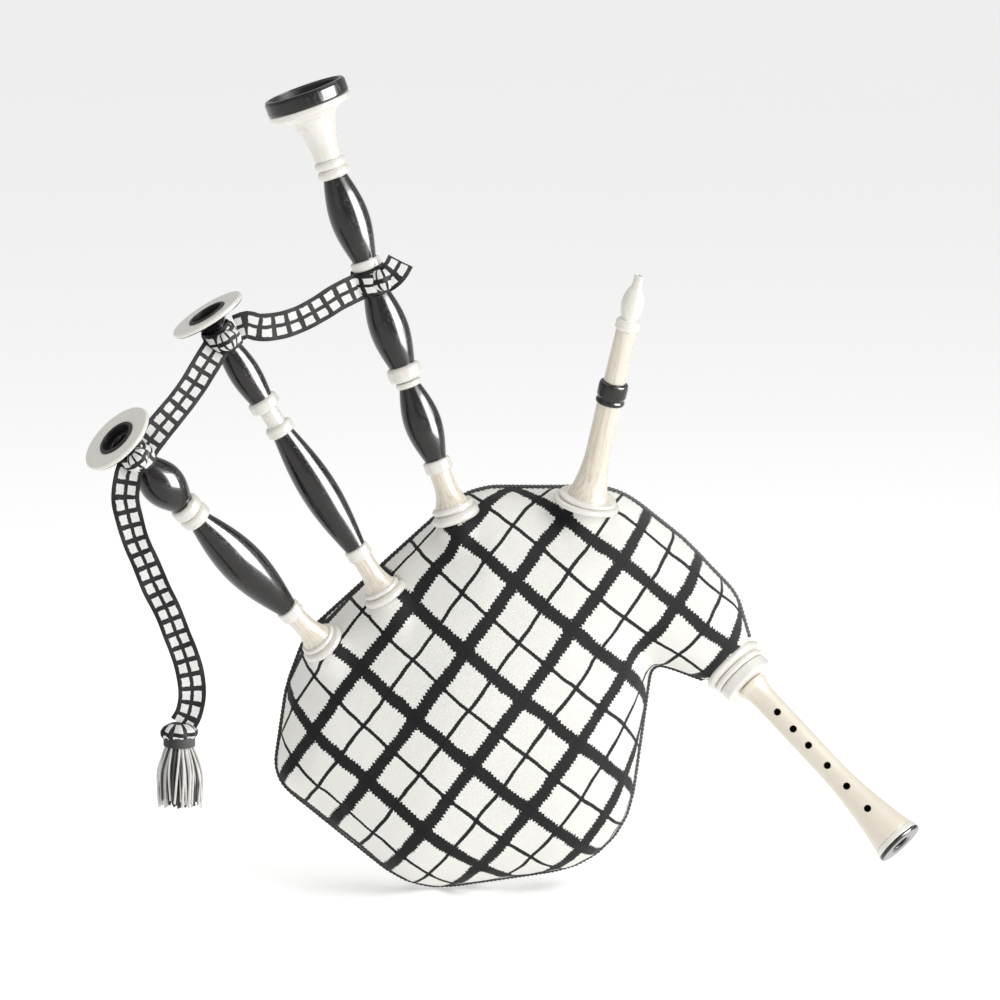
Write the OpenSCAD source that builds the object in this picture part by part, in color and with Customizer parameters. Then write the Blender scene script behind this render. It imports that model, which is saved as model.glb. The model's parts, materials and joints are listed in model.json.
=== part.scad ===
// Highland bagpipes in playing trim: a tartan covered bag with one bass drone, two tenor drones,
// a blowpipe and a chanter, each plugged into a stock that is tied into the bag.
// Millimetres. +Z is up and +Y points away from the listener. The origin is the middle of the bag,
// where the player's arm holds it. Every pipe is drawn upright, with its height measured along
// its own axis from the bag's surface, and is then leaned into place.

/* [Bag] */
// Thickness of the woven cover
cover_t = 2; // [1.5:0.5:2.5]
// Thickness of the hide bag inside the cover
hide_t = 2.5; // [2:0.5:3]
// Space between the cover and the hide bag
lining_gap = 1.5; // [1:0.5:2]

/* [Stocks] */
// Radius of a drone stock's collar
drone_collar_r = 26; // [24:1:28]
// Height of a drone stock's collar
drone_collar_h = 16; // [12:1:18]
// Radius of the blowpipe stock's and the chanter stock's collar
front_collar_r = 38; // [36:1:40]
// Radius of the part of a stock that is tied into the bag
tied_r = 14.5; // [14:0.5:15]
// Length of a stock inside the bag
stock_depth = 34; // [30:1:40]

/* [Pipe fits] */
// Radius of the wound tenon that plugs into a drone stock
tenon_r = 9; // [8.5:0.25:9.25]
// Radius of a drone's tuning slide
slide_r = 11; // [10.5:0.25:11.5]
// Radial clearance of every turning or sliding fit
fit = 0.05; // [0.03:0.01:0.08]
// Radius of a drone's bore
bore_r = 4; // [3:0.5:5]
// Height that the middle tenor is drawn out on its slide
middle_open = 20; // [1:1:30]
// Height that the outer tenor is drawn out on its slide
outer_open = 0.5; // [0.5:0.5:10]

/* [Turning] */
// Radius of a tenor's bell
tenor_bell_r = 45; // [40:1:50]
// Radius of the bass drone's bell
bass_bell_r = 48; // [44:1:52]
// Greatest radius of the middle tenor's lower joint
middle_lower_r = 21.5; // [18:0.5:24]
// Greatest radius of the middle tenor's upper joint
middle_upper_r = 18; // [17:0.5:22]
// Greatest radius of both joints of the outer tenor
outer_swell_r = 25; // [20:0.5:26]
// Greatest radius of the bass drone's joints
bass_swell_r = 22.5; // [20:0.5:25]

/* [Chanter] */
// Radius of the chanter's shaft
chanter_r = 14; // [12:0.5:16]
// Radius of the chanter's sole
sole_r = 29; // [24:0.5:30]
// Radius of a finger hole
finger_hole_r = 3.2; // [2.5:0.1:3.6]

/* [Ribbon] */
// Width of the checked ribbon between the drones
ribbon_w = 30; // [24:1:32]
// Thickness of the ribbon
ribbon_t = 6; // [4:0.5:7]

/* [Hidden] */
$fn = 64;

// Where each pipe leaves the bag, its lean from upright and the heading that it leans to
bass_at = [-8, -45, 206];
bass_lean = 19.3;
bass_heading = 180;
middle_at = [-88, -58, 119];
middle_lean = 31.7;
middle_heading = 192;
outer_at = [-159, -54, 62];
outer_lean = 45.1;
outer_heading = 209.8;
blow_at = [138, -52, 225];
blow_lean = 15.9;
blow_heading = -40.6;
chanter_at = [305, 0, 33];
chanter_lean = 131.1;
chanter_heading = -28.7;
// Turn about its own axis that brings the finger holes to the front
chanter_turn = -117;

// Heights along a tenor
tenor_ring_z = 56;
tenor_ring_h = 15;
tenor_lower_z = 71.5;
tenor_shoulder_z = 228;
tenor_pin_z = 241;
tenor_pin_h = 58;
tenor_upper_h = 88;
tenor_bell_h = 48;
// Heights along the bass drone
bass_ring_z = 60;
bass_lower_z = 75.5;
bass_middle_z = 172;
bass_pin_h = 48;
bass_tie_z = 280;
bass_top_z = 306.5;
bass_double_ring_z = 417;
bass_bell_z = 439;
bass_h = 523;
// Heights along the blowpipe and the chanter
blow_ring_z = 126;
blow_ring_h = 26;
blow_foot = 102;
mouth_z = 216;
blow_h = 282;
chanter_ring_z = 20.5;
chanter_ring_h = 14;
chanter_z = 36;
chanter_h = 291;
sole_h = 12;
tenon_h = 28;
core = 1.2;

// The bag's lobes: [x, z, radius, half thickness], the belly first
belly = [
    [-172, -84, 46, 44], [-138, -12, 69, 66], [-29, -128, 103, 80], [86, -105, 109, 84],
    [109, 12, 101, 92], [144, 152, 86, 84], [40, 146, 92, 86], [-126, 29, 66, 72], [17, 0, 138, 108]
];
neck = [[144, 152, 86, 84], [201, 117, 78, 66], [259, 82, 60, 54], [297, 41, 35, 36]];

// The ribbon's route, in two spans between the drones and a tail that hangs from the last tie
span_bass = [
    [-124, -60, 475], [-144, -68, 466], [-164, -74, 454], [-184, -80, 444],
    [-204, -87, 438], [-222, -93, 436], [-234, -97, 437], [-244, -99, 440]
];
span_outer = [
    [-283, -115, 409], [-293, -128, 394], [-304, -139, 377], [-316, -148, 361],
    [-328, -156, 347], [-341, -163, 332], [-352, -169, 318]
];
tail = [
    [-375, -188, 283], [-378, -192, 257], [-373, -192, 232], [-366, -192, 208], [-355, -192, 182],
    [-344, -192, 155], [-332, -192, 130], [-322, -192, 104], [-313, -192, 80], [-307, -192, 57],
    [-305, -192, 34], [-309, -192, 13], [-318, -192, -4]
];
span_middle = 3;
tassel_at = [-320, -192, -3];

ivory = "ivory";
ebony = [0.09, 0.08, 0.08];
hemp = "goldenrod";
cane = "burlywood";
ribbon_colour = [0.35, 0.35, 0.35];

// ---- Placing ----

// Leans what is drawn upright onto a pipe's axis
module leaned(at, lean, heading, turn = 0) {
    translate(at) rotate([0, lean, heading]) rotate([0, 0, turn]) children();
}

module on_bass() {
    leaned(bass_at, bass_lean, bass_heading) children();
}

module on_middle() {
    leaned(middle_at, middle_lean, middle_heading) children();
}

module on_outer() {
    leaned(outer_at, outer_lean, outer_heading) children();
}

module on_blowpipe() {
    leaned(blow_at, blow_lean, blow_heading) children();
}

module on_chanter() {
    leaned(chanter_at, chanter_lean, chanter_heading, chanter_turn) children();
}

// ---- Turned shapes ----

// Radii and heights of a swelling, thickest in the middle
function swell(z0, z1, end_r, mid_r, n = 10) =
    [for (i = [0 : n]) [end_r + (mid_r - end_r) * sin(180 * i / n), z0 + (z1 - z0) * i / n]];

// Radii and heights of a quarter round that opens upwards, from upright to level
function flare(z0, z1, r0, r1, n = 8) =
    [for (i = [0 : n]) [r0 + (r1 - r0) * (1 - cos(90 * i / n)), z0 + (z1 - z0) * sin(90 * i / n)]];

// A solid turned from its outline, closed along the axis
module turned(outline) {
    rotate_extrude() polygon(concat(
        [[0, outline[0][1]]], outline, [[0, outline[len(outline) - 1][1]]]
    ));
}

// A straight hole from z0 to z1
module drill(r, z0, z1) {
    translate([0, 0, z0]) cylinder(h = z1 - z0, r = r);
}

// A ring with its two outer edges rounded
module ring(r_in, r_out, z, h, edge = 2) {
    translate([0, 0, z]) rotate_extrude() polygon(concat(
        [[r_in, 0]],
        [for (a = [-90 : 30 : 0]) [r_out - edge + edge * cos(a), edge + edge * sin(a)]],
        [for (a = [0 : 30 : 90]) [r_out - edge + edge * cos(a), h - edge + edge * sin(a)]],
        [[r_in, h]]
    ));
}

module winding(r_in, r_out, z, h) {
    ring(r_in, r_out, z, h, 0.4);
}

// ---- The bag ----

module lobe(b, inset) {
    translate([b[0], 0, b[1]]) scale([1, (b[3] - inset) / (b[2] - inset), 1])
        sphere(b[2] - inset, $fn = 24);
}

// A rise in the bag around a stock's foot, running down into the belly
module boss(inset, r) {
    hull() {
        translate([0, 0, -20]) sphere(r - inset, $fn = 20);
        translate([0, 0, -70]) sphere(r + 6 - inset, $fn = 20);
    }
}

// The bag's outer form, shrunk by an inset
module bag_form(inset) {
    hull() for (b = belly) lobe(b, inset);
    for (i = [0 : len(neck) - 2]) hull() {
        lobe(neck[i], inset);
        lobe(neck[i + 1], inset);
    }
    on_bass() boss(inset, 28);
    on_middle() boss(inset, 28);
    on_outer() boss(inset, 28);
    on_blowpipe() boss(inset, 29);
}

// What the five stocks take out of a skin of the bag
module stock_clearance(r_below, r_drone, r_front) {
    on_bass() collar_cut(r_below, r_drone + 2);
    on_middle() collar_cut(r_below, r_drone);
    on_outer() collar_cut(r_below, r_drone);
    on_blowpipe() collar_cut(r_below, r_front);
    on_chanter() collar_cut(r_below, r_front);
}

module collar_cut(r_below, r_above) {
    drill(r_below, -50, 0);
    drill(r_above, -0.2, 70);
}

module bag_cover() {
    $fn = 36;
    color("white") difference() {
        bag_form(0);
        bag_form(cover_t);
        stock_clearance(tied_r + hide_t + 0.3, drone_collar_r + 0.2, front_collar_r + 0.2);
        every_stock() drill(tied_r + hide_t + 2.3, -14.3, -5.7);
    }
}

// The hide bag has a short sleeve around each stock, which a binding holds
module inner_bag() {
    $fn = 24;
    color("peru") difference() {
        union() {
            difference() {
                bag_form(cover_t + lining_gap);
                bag_form(cover_t + lining_gap + hide_t);
            }
            every_stock() drill(tied_r + hide_t, -28, -2);
            on_chanter() drill(27.5, -3, -0.2);
        }
        every_stock() drill(tied_r + 0.15, -60, 0);
        every_stock() binding_groove();
        stock_clearance(tied_r + 0.15, drone_collar_r + 0.4, front_collar_r + 0.4);
    }
}

// The channel around a sleeve that its binding lies in
module binding_groove() {
    difference() {
        drill(tied_r + hide_t + 3, -14.2, -5.8);
        drill(tied_r + hide_t - 0.5, -15, -5);
    }
}

module every_stock() {
    on_bass() children();
    on_middle() children();
    on_outer() children();
    on_blowpipe() children();
    on_chanter() children();
}

module stock_bindings() {
    color("gold") every_stock() ring(tied_r + hide_t - 0.45, tied_r + hide_t + 2, -14, 8, 1);
}

module stock_collars() {
    color(ivory) {
        on_bass() collar(drone_collar_r + 2, 20, drone_collar_h + 4);
        on_middle() collar(drone_collar_r, 18, drone_collar_h);
        on_outer() collar(drone_collar_r, 18, drone_collar_h);
        on_blowpipe() collar(front_collar_r, 23, 12);
        on_chanter() collar(front_collar_r, 23, 19);
    }
}

module collar(r, hole_r, h) {
    ring(hole_r + 0.02, r, 0, h, 4);
}

// ---- Stocks ----

// A drone stock: tied foot, a seat for the collar, a hollow flare and a straight top with a socket
module drone_stock(seat_r, seat_h, top_r, top_z) {
    difference() {
        turned(concat(
            [[tied_r, -stock_depth], [tied_r, 0], [seat_r, 0], [seat_r, seat_h]],
            [for (i = [1 : 6]) [top_r + (seat_r - top_r) * pow(1 - i / 6, 2),
                seat_h + (top_z - 24 - seat_h) * i / 6]],
            [[top_r, top_z]]
        ));
        drill(bore_r * 2, -stock_depth - 1, top_z + 1);
        drill(tenon_r + fit, top_z - tenon_h - 2, top_z + 1);
    }
}

// A ferrule that caps the top of a stock
module stock_ferrule(stock_r, top_z, z, h, r, hole_r) {
    difference() {
        ring(hole_r, r, z, h, 2.5);
        drill(stock_r + 0.02, z - 1, top_z + 0.02);
    }
}

module bass_stock() {
    color(ivory) on_bass() drone_stock(20, drone_collar_h + 4, 12.5, 71);
}

module middle_stock() {
    color(ivory) on_middle() drone_stock(18, drone_collar_h, 11.8, 67);
}

module outer_stock() {
    color(ivory) on_outer() drone_stock(18, drone_collar_h, 11.8, 67);
}

module bass_stock_ferrule() {
    color(ivory) on_bass() stock_ferrule(12.5, 71, bass_ring_z, 15, 16, tenon_r + 0.4);
}

module tenor_stock_ferrule() {
    stock_ferrule(11.8, 67, tenor_ring_z, tenor_ring_h, 14.5, tenon_r + 0.4);
}

module middle_stock_ferrule() {
    color(ivory) on_middle() tenor_stock_ferrule();
}

module outer_stock_ferrule() {
    color(ivory) on_outer() tenor_stock_ferrule();
}

module blowpipe_stock() {
    top_z = blow_ring_z + blow_ring_h - 4;
    color(ivory) on_blowpipe() difference() {
        turned(concat(
            [[tied_r, -stock_depth], [tied_r, 0], [23, 0], [23, 12]],
            [for (i = [1 : 8]) [14.2 + 8.8 * pow(1 - i / 8, 2), 12 + 58 * i / 8]],
            [[14.2, top_z]]
        ));
        drill(10.5, -stock_depth - 1, top_z + 1);
        drill(slide_r + fit, blow_foot - 2, top_z + 1);
    }
}

module blowpipe_stock_ferrule() {
    top_z = blow_ring_z + blow_ring_h - 4;
    color(ivory) on_blowpipe()
        stock_ferrule(14.2, top_z, blow_ring_z, blow_ring_h, 17, slide_r + 0.4);
}

module chanter_stock() {
    top_z = chanter_ring_z + chanter_ring_h - 3;
    color(ivory) on_chanter() difference() {
        turned([[tied_r, -stock_depth], [tied_r, 0], [23, 0], [23, top_z]]);
        drill(10, -stock_depth - 1, top_z + 1);
        drill(slide_r + fit, -2, top_z + 1);
    }
}

module chanter_stock_ferrule() {
    top_z = chanter_ring_z + chanter_ring_h - 3;
    color(ivory) on_chanter()
        stock_ferrule(23, top_z, chanter_ring_z - 1, chanter_ring_h + 1, 32.5, slide_r + 0.4);
}

// ---- Drone joints ----

// A lower joint: wound tenon below, a swelling, a shoulder and the tuning slide above
module lower_joint(z0, shoulder_z, pin_z, pin_h, swell_r, shoulder_r) {
    difference() {
        turned(concat(
            [[tenon_r - core, z0 - tenon_h], [tenon_r - core, z0]],
            swell(z0, shoulder_z, 12.5, swell_r),
            [[shoulder_r, shoulder_z], [shoulder_r, pin_z], [slide_r, pin_z]],
            [[slide_r, pin_z + pin_h - 30], [slide_r - core, pin_z + pin_h - 30]],
            [[slide_r - core, pin_z + pin_h]]
        ));
        drill(bore_r, z0 - tenon_h - 1, pin_z + pin_h + 1);
    }
}

// The winding on the tenon and the winding on the tuning slide
module hemp_windings(z0, pin_top) {
    winding(tenon_r - core + 0.02, tenon_r, z0 - tenon_h + 1, tenon_h - 5);
    winding(slide_r - core + 0.02, slide_r, pin_top - 29, 28);
}

// An upper joint: a socket for the slide below, a swelling, and a spigot for the bell above
module upper_joint(z0, h, swell_r) {
    difference() {
        turned(concat(
            [[14, z0], [14, z0 + 16]],
            swell(z0 + 16, z0 + h - 4, 14, swell_r),
            [[9, z0 + h - 4], [9, z0 + h + 8]]
        ));
        drill(slide_r + fit, z0 - 1, z0 + 62);
        drill(bore_r + 1, z0 + 60, z0 + h + 9);
    }
}

module upper_ferrule(z0, r) {
    ring(14.02, r, z0, 15.5, 2.5);
}

// A single reed: a cane tube closed below, with a flat where its tongue lies
module drone_reed(z) {
    difference() {
        union() {
            drill(3.6, z - 52, z + 8);
            drill(bore_r - 0.02, z + 8, z + 16);
        }
        drill(2, z - 48, z + 17);
        translate([2.2, -5, z - 44]) cube([5, 10, 44]);
    }
}

module reed_tongue(z) {
    translate([2.25, -1.6, z - 43]) cube([0.8, 3.2, 42]);
}

module tenor_bell(z0, neck_r) {
    rim = z0 + tenor_bell_h;
    difference() {
        turned(concat(
            [[neck_r, z0], [neck_r, z0 + 26]],
            flare(z0 + 26, rim - 6, neck_r, tenor_bell_r - 1),
            [[tenor_bell_r, rim - 4.5], [tenor_bell_r, rim - 2]],
            [[tenor_bell_r - 1.5, rim]]
        ));
        drill(9.02, z0 - 1, z0 + 13);
        drill(bore_r + 1, z0, rim);
        translate([0, 0, z0 + 18]) cylinder(h = 10, r1 = bore_r + 1, r2 = 11);
        drill(11, z0 + 28, rim);
        drill(23, rim - 7, rim + 1);
    }
}

// The lining of a tenor bell's mouth
module tenor_bell_bush(z0) {
    rim = z0 + tenor_bell_h;
    ring(19, 22.98, rim - 6.98, 7.5, 0.8);
}

// ---- Ribbon ----

function unit(v) = v / norm(v);

function tangent(route, i) =
    unit(route[min(i + 1, len(route) - 1)] - route[max(i - 1, 0)]);

// The ribbon's edge points around one point of its route: broad across the view, thin along it
function ribbon_ring(route, i, w, t) =
    let (along = tangent(route, i), across = unit(cross(along, [0, 1, 0])),
        through = cross(along, across))
    [for (a = [15 : 30 : 345])
        route[i] + across * w / 2 * cos(a) / cos(15)
            + through * t / 2 * (abs(cos(a)) > 0.9 ? 0.5 * sign(sin(a)) : sign(sin(a)))];

module ribbon(route, first, last, w = ribbon_w) {
    sides = 12;
    rings = last - first + 1;
    points = [for (i = [first : last]) each ribbon_ring(route, i, w, ribbon_t)];
    walls = [for (i = [0 : rings - 2], k = [0 : sides - 1])
        [i * sides + k, i * sides + (k + 1) % sides,
            (i + 1) * sides + (k + 1) % sides, (i + 1) * sides + k]];
    start = [for (k = [sides - 1 : -1 : 0]) k];
    end = [for (k = [0 : sides - 1]) (rings - 1) * sides + k];
    color(ribbon_colour) polyhedron(points, concat(walls, [start, end]));
}

// The ribbon's turns around a drone, with the knot in front
module ribbon_tie(z, h, r_in, r_out) {
    color(ribbon_colour) ring(r_in, r_out, z, h, 3);
}

module ribbon_at_bass() {
    ribbon(span_bass, 0, span_middle);
}

module ribbon_to_middle() {
    ribbon(span_bass, span_middle, len(span_bass) - 1);
}

module ribbon_from_middle() {
    ribbon(span_outer, 0, span_middle);
}

module ribbon_to_outer() {
    ribbon(span_outer, span_middle, len(span_outer) - 1);
}

module ribbon_tail() {
    ribbon(tail, 0, len(tail) - 1);
}

// The gathered end: a knot with a skirt of strands below it
module ribbon_tassel() {
    color(ribbon_colour) translate(tassel_at) {
        rotate_extrude() polygon([
            [0, -1], [14, -2], [22, -6], [23, -10], [18, -14], [17, -16],
            [25, -30], [28, -50], [26, -70], [24, -86], [0, -86]
        ]);
    }
}

// ---- Bass drone ----

module bass_lower_joint() {
    color(ebony) on_bass()
        lower_joint(bass_lower_z, bass_middle_z - 8, bass_middle_z - 0.5, bass_pin_h, 21.5, 15);
}

module bass_hemp_windings() {
    color(hemp) on_bass() hemp_windings(bass_lower_z, bass_middle_z - 0.5 + bass_pin_h);
}

module bass_reed() {
    color(cane) on_bass() drone_reed(bass_lower_z - tenon_h);
}

module bass_reed_tongue() {
    color(cane) on_bass() reed_tongue(bass_lower_z - tenon_h);
}

module bass_middle_joint() {
    pin_top = bass_top_z - 0.5 + bass_pin_h;
    color(ebony) on_bass() difference() {
        turned(concat(
            [[15, bass_middle_z], [15, bass_middle_z + 18]],
            swell(bass_middle_z + 18, bass_tie_z - 2, 15, bass_swell_r),
            [[16, bass_tie_z - 2], [16, bass_top_z - 0.5], [slide_r, bass_top_z - 0.5]],
            [[slide_r, pin_top - 30], [slide_r - core, pin_top - 30], [slide_r - core, pin_top]]
        ));
        drill(slide_r + fit, bass_middle_z - 1, bass_middle_z + bass_pin_h + 3);
        drill(bore_r + 0.5, bass_middle_z + bass_pin_h, pin_top + 1);
    }
}

module bass_middle_ferrule() {
    color(ivory) on_bass() ring(15.02, 20, bass_middle_z, 18, 3);
}

module bass_slide_hemp() {
    pin_top = bass_top_z - 0.5 + bass_pin_h;
    color(hemp) on_bass() winding(slide_r - core + 0.02, slide_r, pin_top - 29, 28);
}

module bass_ribbon_tie() {
    on_bass() ribbon_tie(bass_tie_z, 25, 16.02, 23.5);
}

module bass_top_joint() {
    color(ebony) on_bass() difference() {
        turned(concat(
            [[14, bass_top_z], [14, bass_top_z + 12]],
            swell(bass_top_z + 12, bass_double_ring_z, 14, bass_swell_r),
            [[13, bass_double_ring_z], [13, bass_bell_z], [10, bass_bell_z], [10, bass_bell_z + 20]]
        ));
        drill(slide_r + fit, bass_top_z - 1, bass_top_z + bass_pin_h + 3);
        drill(bore_r + 1.5, bass_top_z + bass_pin_h, bass_bell_z + 21);
    }
}

module bass_top_ferrule() {
    color(ivory) on_bass() ring(14.02, 17.5, bass_top_z, 11.5, 2.5);
}

// Two beads on one sleeve, below the bell's neck
module bass_bell_rings() {
    color(ivory) on_bass() {
        ring(13.02, 18.5, bass_double_ring_z + 0.1, 11, 4);
        ring(13.02, 18.5, bass_double_ring_z + 11, 11, 4);
    }
}

module bass_bell() {
    color(ivory) on_bass() difference() {
        turned(concat(
            [[15.5, bass_bell_z + 0.05]],
            [for (i = [0 : 6]) [16 + 7 * pow(i / 6, 2), bass_bell_z + 4 + 36 * i / 6]],
            flare(bass_bell_z + 42, bass_h - 26, 24, bass_bell_r - 2, 6),
            [[bass_bell_r, bass_h - 23], [bass_bell_r, bass_h - 3], [bass_bell_r - 2, bass_h]]
        ));
        drill(10.02, bass_bell_z - 1, bass_bell_z + 20.05);
        drill(bore_r + 1.5, bass_bell_z, bass_h);
        drill(42, bass_h - 22, bass_h + 1);
    }
}

// The dark lining of the bass drone's wide mouth
module bass_bell_bush() {
    color(ebony) on_bass() difference() {
        ring(1, 41.98, bass_h - 21.98, 21, 1.5);
        drill(10, bass_h - 23, bass_h);
        translate([0, 0, bass_h - 18]) cylinder(h = 6, r1 = 10, r2 = 38);
        drill(38, bass_h - 12.02, bass_h + 1);
    }
}

// ---- Middle tenor ----

middle_upper_z = tenor_pin_z + middle_open;

module middle_lower_joint() {
    color(ebony) on_middle() lower_joint(tenor_lower_z, tenor_shoulder_z, tenor_pin_z,
        tenor_pin_h, middle_lower_r, 16.5);
}

module middle_hemp_windings() {
    color(hemp) on_middle() hemp_windings(tenor_lower_z, tenor_pin_z + tenor_pin_h);
}

module middle_reed() {
    color(cane) on_middle() drone_reed(tenor_lower_z - tenon_h);
}

module middle_reed_tongue() {
    color(cane) on_middle() reed_tongue(tenor_lower_z - tenon_h);
}

module middle_upper_joint() {
    color(ebony) on_middle() upper_joint(middle_upper_z, tenor_upper_h, middle_upper_r);
}

module middle_upper_ferrule() {
    color(ivory) on_middle() upper_ferrule(middle_upper_z, 18);
}

module middle_bell() {
    color(ivory) on_middle() tenor_bell(middle_upper_z + tenor_upper_h - 3.95, 14);
}

module middle_bell_bush() {
    color(ivory) on_middle() tenor_bell_bush(middle_upper_z + tenor_upper_h - 3.95);
}

module middle_ribbon_tie() {
    on_middle() ribbon_tie(middle_upper_z + tenor_upper_h - 3, 25, 14.02, 21);
}

// ---- Outer tenor ----

outer_upper_z = tenor_pin_z + outer_open;

module outer_lower_joint() {
    color(ebony) on_outer() lower_joint(tenor_lower_z, tenor_shoulder_z, tenor_pin_z,
        tenor_pin_h, outer_swell_r, 18);
}

module outer_hemp_windings() {
    color(hemp) on_outer() hemp_windings(tenor_lower_z, tenor_pin_z + tenor_pin_h);
}

module outer_reed() {
    color(cane) on_outer() drone_reed(tenor_lower_z - tenon_h);
}

module outer_reed_tongue() {
    color(cane) on_outer() reed_tongue(tenor_lower_z - tenon_h);
}

module outer_upper_joint() {
    color(ebony) on_outer() upper_joint(outer_upper_z, tenor_upper_h, outer_swell_r);
}

module outer_upper_ferrule() {
    color(ivory) on_outer() upper_ferrule(outer_upper_z, 18);
}

module outer_bell() {
    color(ivory) on_outer() tenor_bell(outer_upper_z + tenor_upper_h - 3.95, 14);
}

module outer_bell_bush() {
    color(ivory) on_outer() tenor_bell_bush(outer_upper_z + tenor_upper_h - 3.95);
}

module outer_ribbon_tie() {
    on_outer() ribbon_tie(outer_upper_z + tenor_upper_h - 3, 25, 14.02, 21);
}

// ---- Blowpipe ----

module blowpipe() {
    stop_z = blow_ring_z + blow_ring_h + 0.5;
    color(ivory) on_blowpipe() difference() {
        turned([
            [slide_r, blow_foot], [slide_r, blow_foot + 8], [slide_r - core, blow_foot + 8],
            [slide_r - core, stop_z - 5], [slide_r, stop_z - 5], [slide_r, stop_z],
            [12.5, stop_z], [12.5, stop_z + 40], [11.8, mouth_z], [7, mouth_z], [7, mouth_z + 12]
        ]);
        drill(5, blow_foot - 1, mouth_z + 13);
        // room for the tab that the valve hangs from
        translate([-slide_r - 1, -1.7, blow_foot - 1]) cube([slide_r - 5, 3.4, 3.2]);
    }
}

module blowpipe_hemp() {
    stop_z = blow_ring_z + blow_ring_h + 0.5;
    color(hemp) on_blowpipe()
        winding(slide_r - core + 0.02, slide_r, blow_foot + 8.1, stop_z - 5.2 - blow_foot - 8);
}

// A banded socket, a bulb and a tip that the player holds between the lips
module mouthpiece() {
    color("white") on_blowpipe() difference() {
        turned(concat(
            [[12.5, mouth_z + 0.05], [14, mouth_z + 2], [14, mouth_z + 10], [11, mouth_z + 13]],
            swell(mouth_z + 13, mouth_z + 48, 9, 13, 8),
            [[6, mouth_z + 52], [6, blow_h - 1], [5, blow_h]]
        ));
        drill(7.02, mouth_z - 1, mouth_z + 12.05);
        drill(3, mouth_z, blow_h + 1);
    }
}

// A leather disc that hangs from one edge under the blowpipe and lets air go down only
module valve_flap() {
    color("sienna") on_blowpipe() {
        difference() {
            drill(8, blow_foot - 1.6, blow_foot - 0.4);
            translate([-9, -9, blow_foot - 2]) cube([2, 18, 3]);
        }
        translate([-8.6, -1.4, blow_foot - 1.6]) cube([2.6, 2.8, 1.2]);
    }
}

// ---- Chanter ----

// Radius of the chanter at a height: straight, then opening towards the sole
function chanter_radius(z) =
    z < 170 ? chanter_r : chanter_r + (sole_r - chanter_r) * pow((z - 170) / (chanter_h - 170), 1.7);

finger_holes = [83, 110, 136, 168, 201, 237];

module chanter() {
    color(ivory) on_chanter() difference() {
        turned(concat(
            [[slide_r - core, chanter_z - tenon_h - 5], [slide_r - core, chanter_z - 3]],
            [[slide_r, chanter_z - 3], [slide_r, chanter_z], [17, chanter_z], [18, chanter_z + 5]],
            [[15, chanter_z + 14]],
            [for (z = [62 : 12 : chanter_h - sole_h]) [chanter_radius(z), z]],
            [[chanter_radius(chanter_h - sole_h), chanter_h - sole_h]]
        ));
        translate([0, 0, chanter_z - tenon_h - 6])
            cylinder(h = chanter_h - sole_h - 20 - chanter_z + tenon_h + 6, r1 = 3, r2 = 10);
        drill(10, chanter_h - sole_h - 20, chanter_h);
        drill(4, chanter_z - tenon_h - 6, chanter_z - tenon_h + 12);
        for (z = finger_holes) translate([0, 0, z]) rotate([0, 90, 0]) cylinder(h = 40, r = finger_hole_r);
        // the thumb hole behind and the two sound holes at the sides
        translate([0, 0, 70]) rotate([0, -90, 0]) cylinder(h = 40, r = finger_hole_r);
        translate([0, 40, 258]) rotate([90, 0, 0]) cylinder(h = 80, r = 4);
    }
}

module chanter_sole() {
    r = chanter_radius(chanter_h - sole_h);
    color(ivory) on_chanter() difference() {
        turned([
            [r, chanter_h - sole_h + 0.05], [r + 1, chanter_h - sole_h + 2], [sole_r, chanter_h - 6],
            [sole_r, chanter_h - 2], [sole_r - 2, chanter_h]
        ]);
        drill(10, chanter_h - sole_h - 1, chanter_h + 1);
    }
}

module chanter_hemp() {
    color(hemp) on_chanter()
        winding(slide_r - core + 0.02, slide_r, chanter_z - tenon_h - 4, tenon_h);
}

// The double reed stands in the top of the chanter, inside the stock
module chanter_reed_staple() {
    z = chanter_z - tenon_h - 5;
    color("peru") on_chanter() difference() {
        translate([0, 0, z - 14]) cylinder(h = 24, r1 = 2.4, r2 = 3.96);
        translate([0, 0, z - 15]) cylinder(h = 26, r1 = 1, r2 = 2.4);
    }
}

module chanter_reed_blades() {
    z = chanter_z - tenon_h - 5;
    color(cane) on_chanter() difference() {
        union() for (side = [-1, 1]) hull() {
            translate([side * 1.2 - 0.6, -6, z - 40]) cube([1.2, 12, 1]);
            translate([side * 3.2 - 0.6, -3, z - 13]) cube([1.2, 6, 1]);
        }
        drill(3.1, z - 14.2, z - 2);
    }
}

bag_cover();
inner_bag();
bass_stock();
middle_stock();
outer_stock();
blowpipe_stock();
chanter_stock();
stock_bindings();
stock_collars();
bass_stock_ferrule();
middle_stock_ferrule();
outer_stock_ferrule();
blowpipe_stock_ferrule();
chanter_stock_ferrule();
ribbon_at_bass();
ribbon_to_middle();
ribbon_from_middle();
ribbon_to_outer();
bass_lower_joint();
bass_hemp_windings();
bass_reed();
bass_reed_tongue();
bass_middle_joint();
bass_middle_ferrule();
bass_slide_hemp();
bass_ribbon_tie();
bass_top_joint();
bass_top_ferrule();
bass_bell_rings();
bass_bell();
bass_bell_bush();
middle_lower_joint();
middle_hemp_windings();
middle_reed();
middle_reed_tongue();
middle_upper_joint();
middle_upper_ferrule();
middle_bell();
middle_bell_bush();
middle_ribbon_tie();
outer_lower_joint();
outer_hemp_windings();
outer_reed();
outer_reed_tongue();
outer_upper_joint();
outer_upper_ferrule();
outer_bell();
outer_bell_bush();
outer_ribbon_tie();
ribbon_tail();
ribbon_tassel();
blowpipe();
blowpipe_hemp();
mouthpiece();
valve_flap();
chanter();
chanter_sole();
chanter_hemp();
chanter_reed_blades();
chanter_reed_staple();
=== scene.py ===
import json
import math

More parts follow.
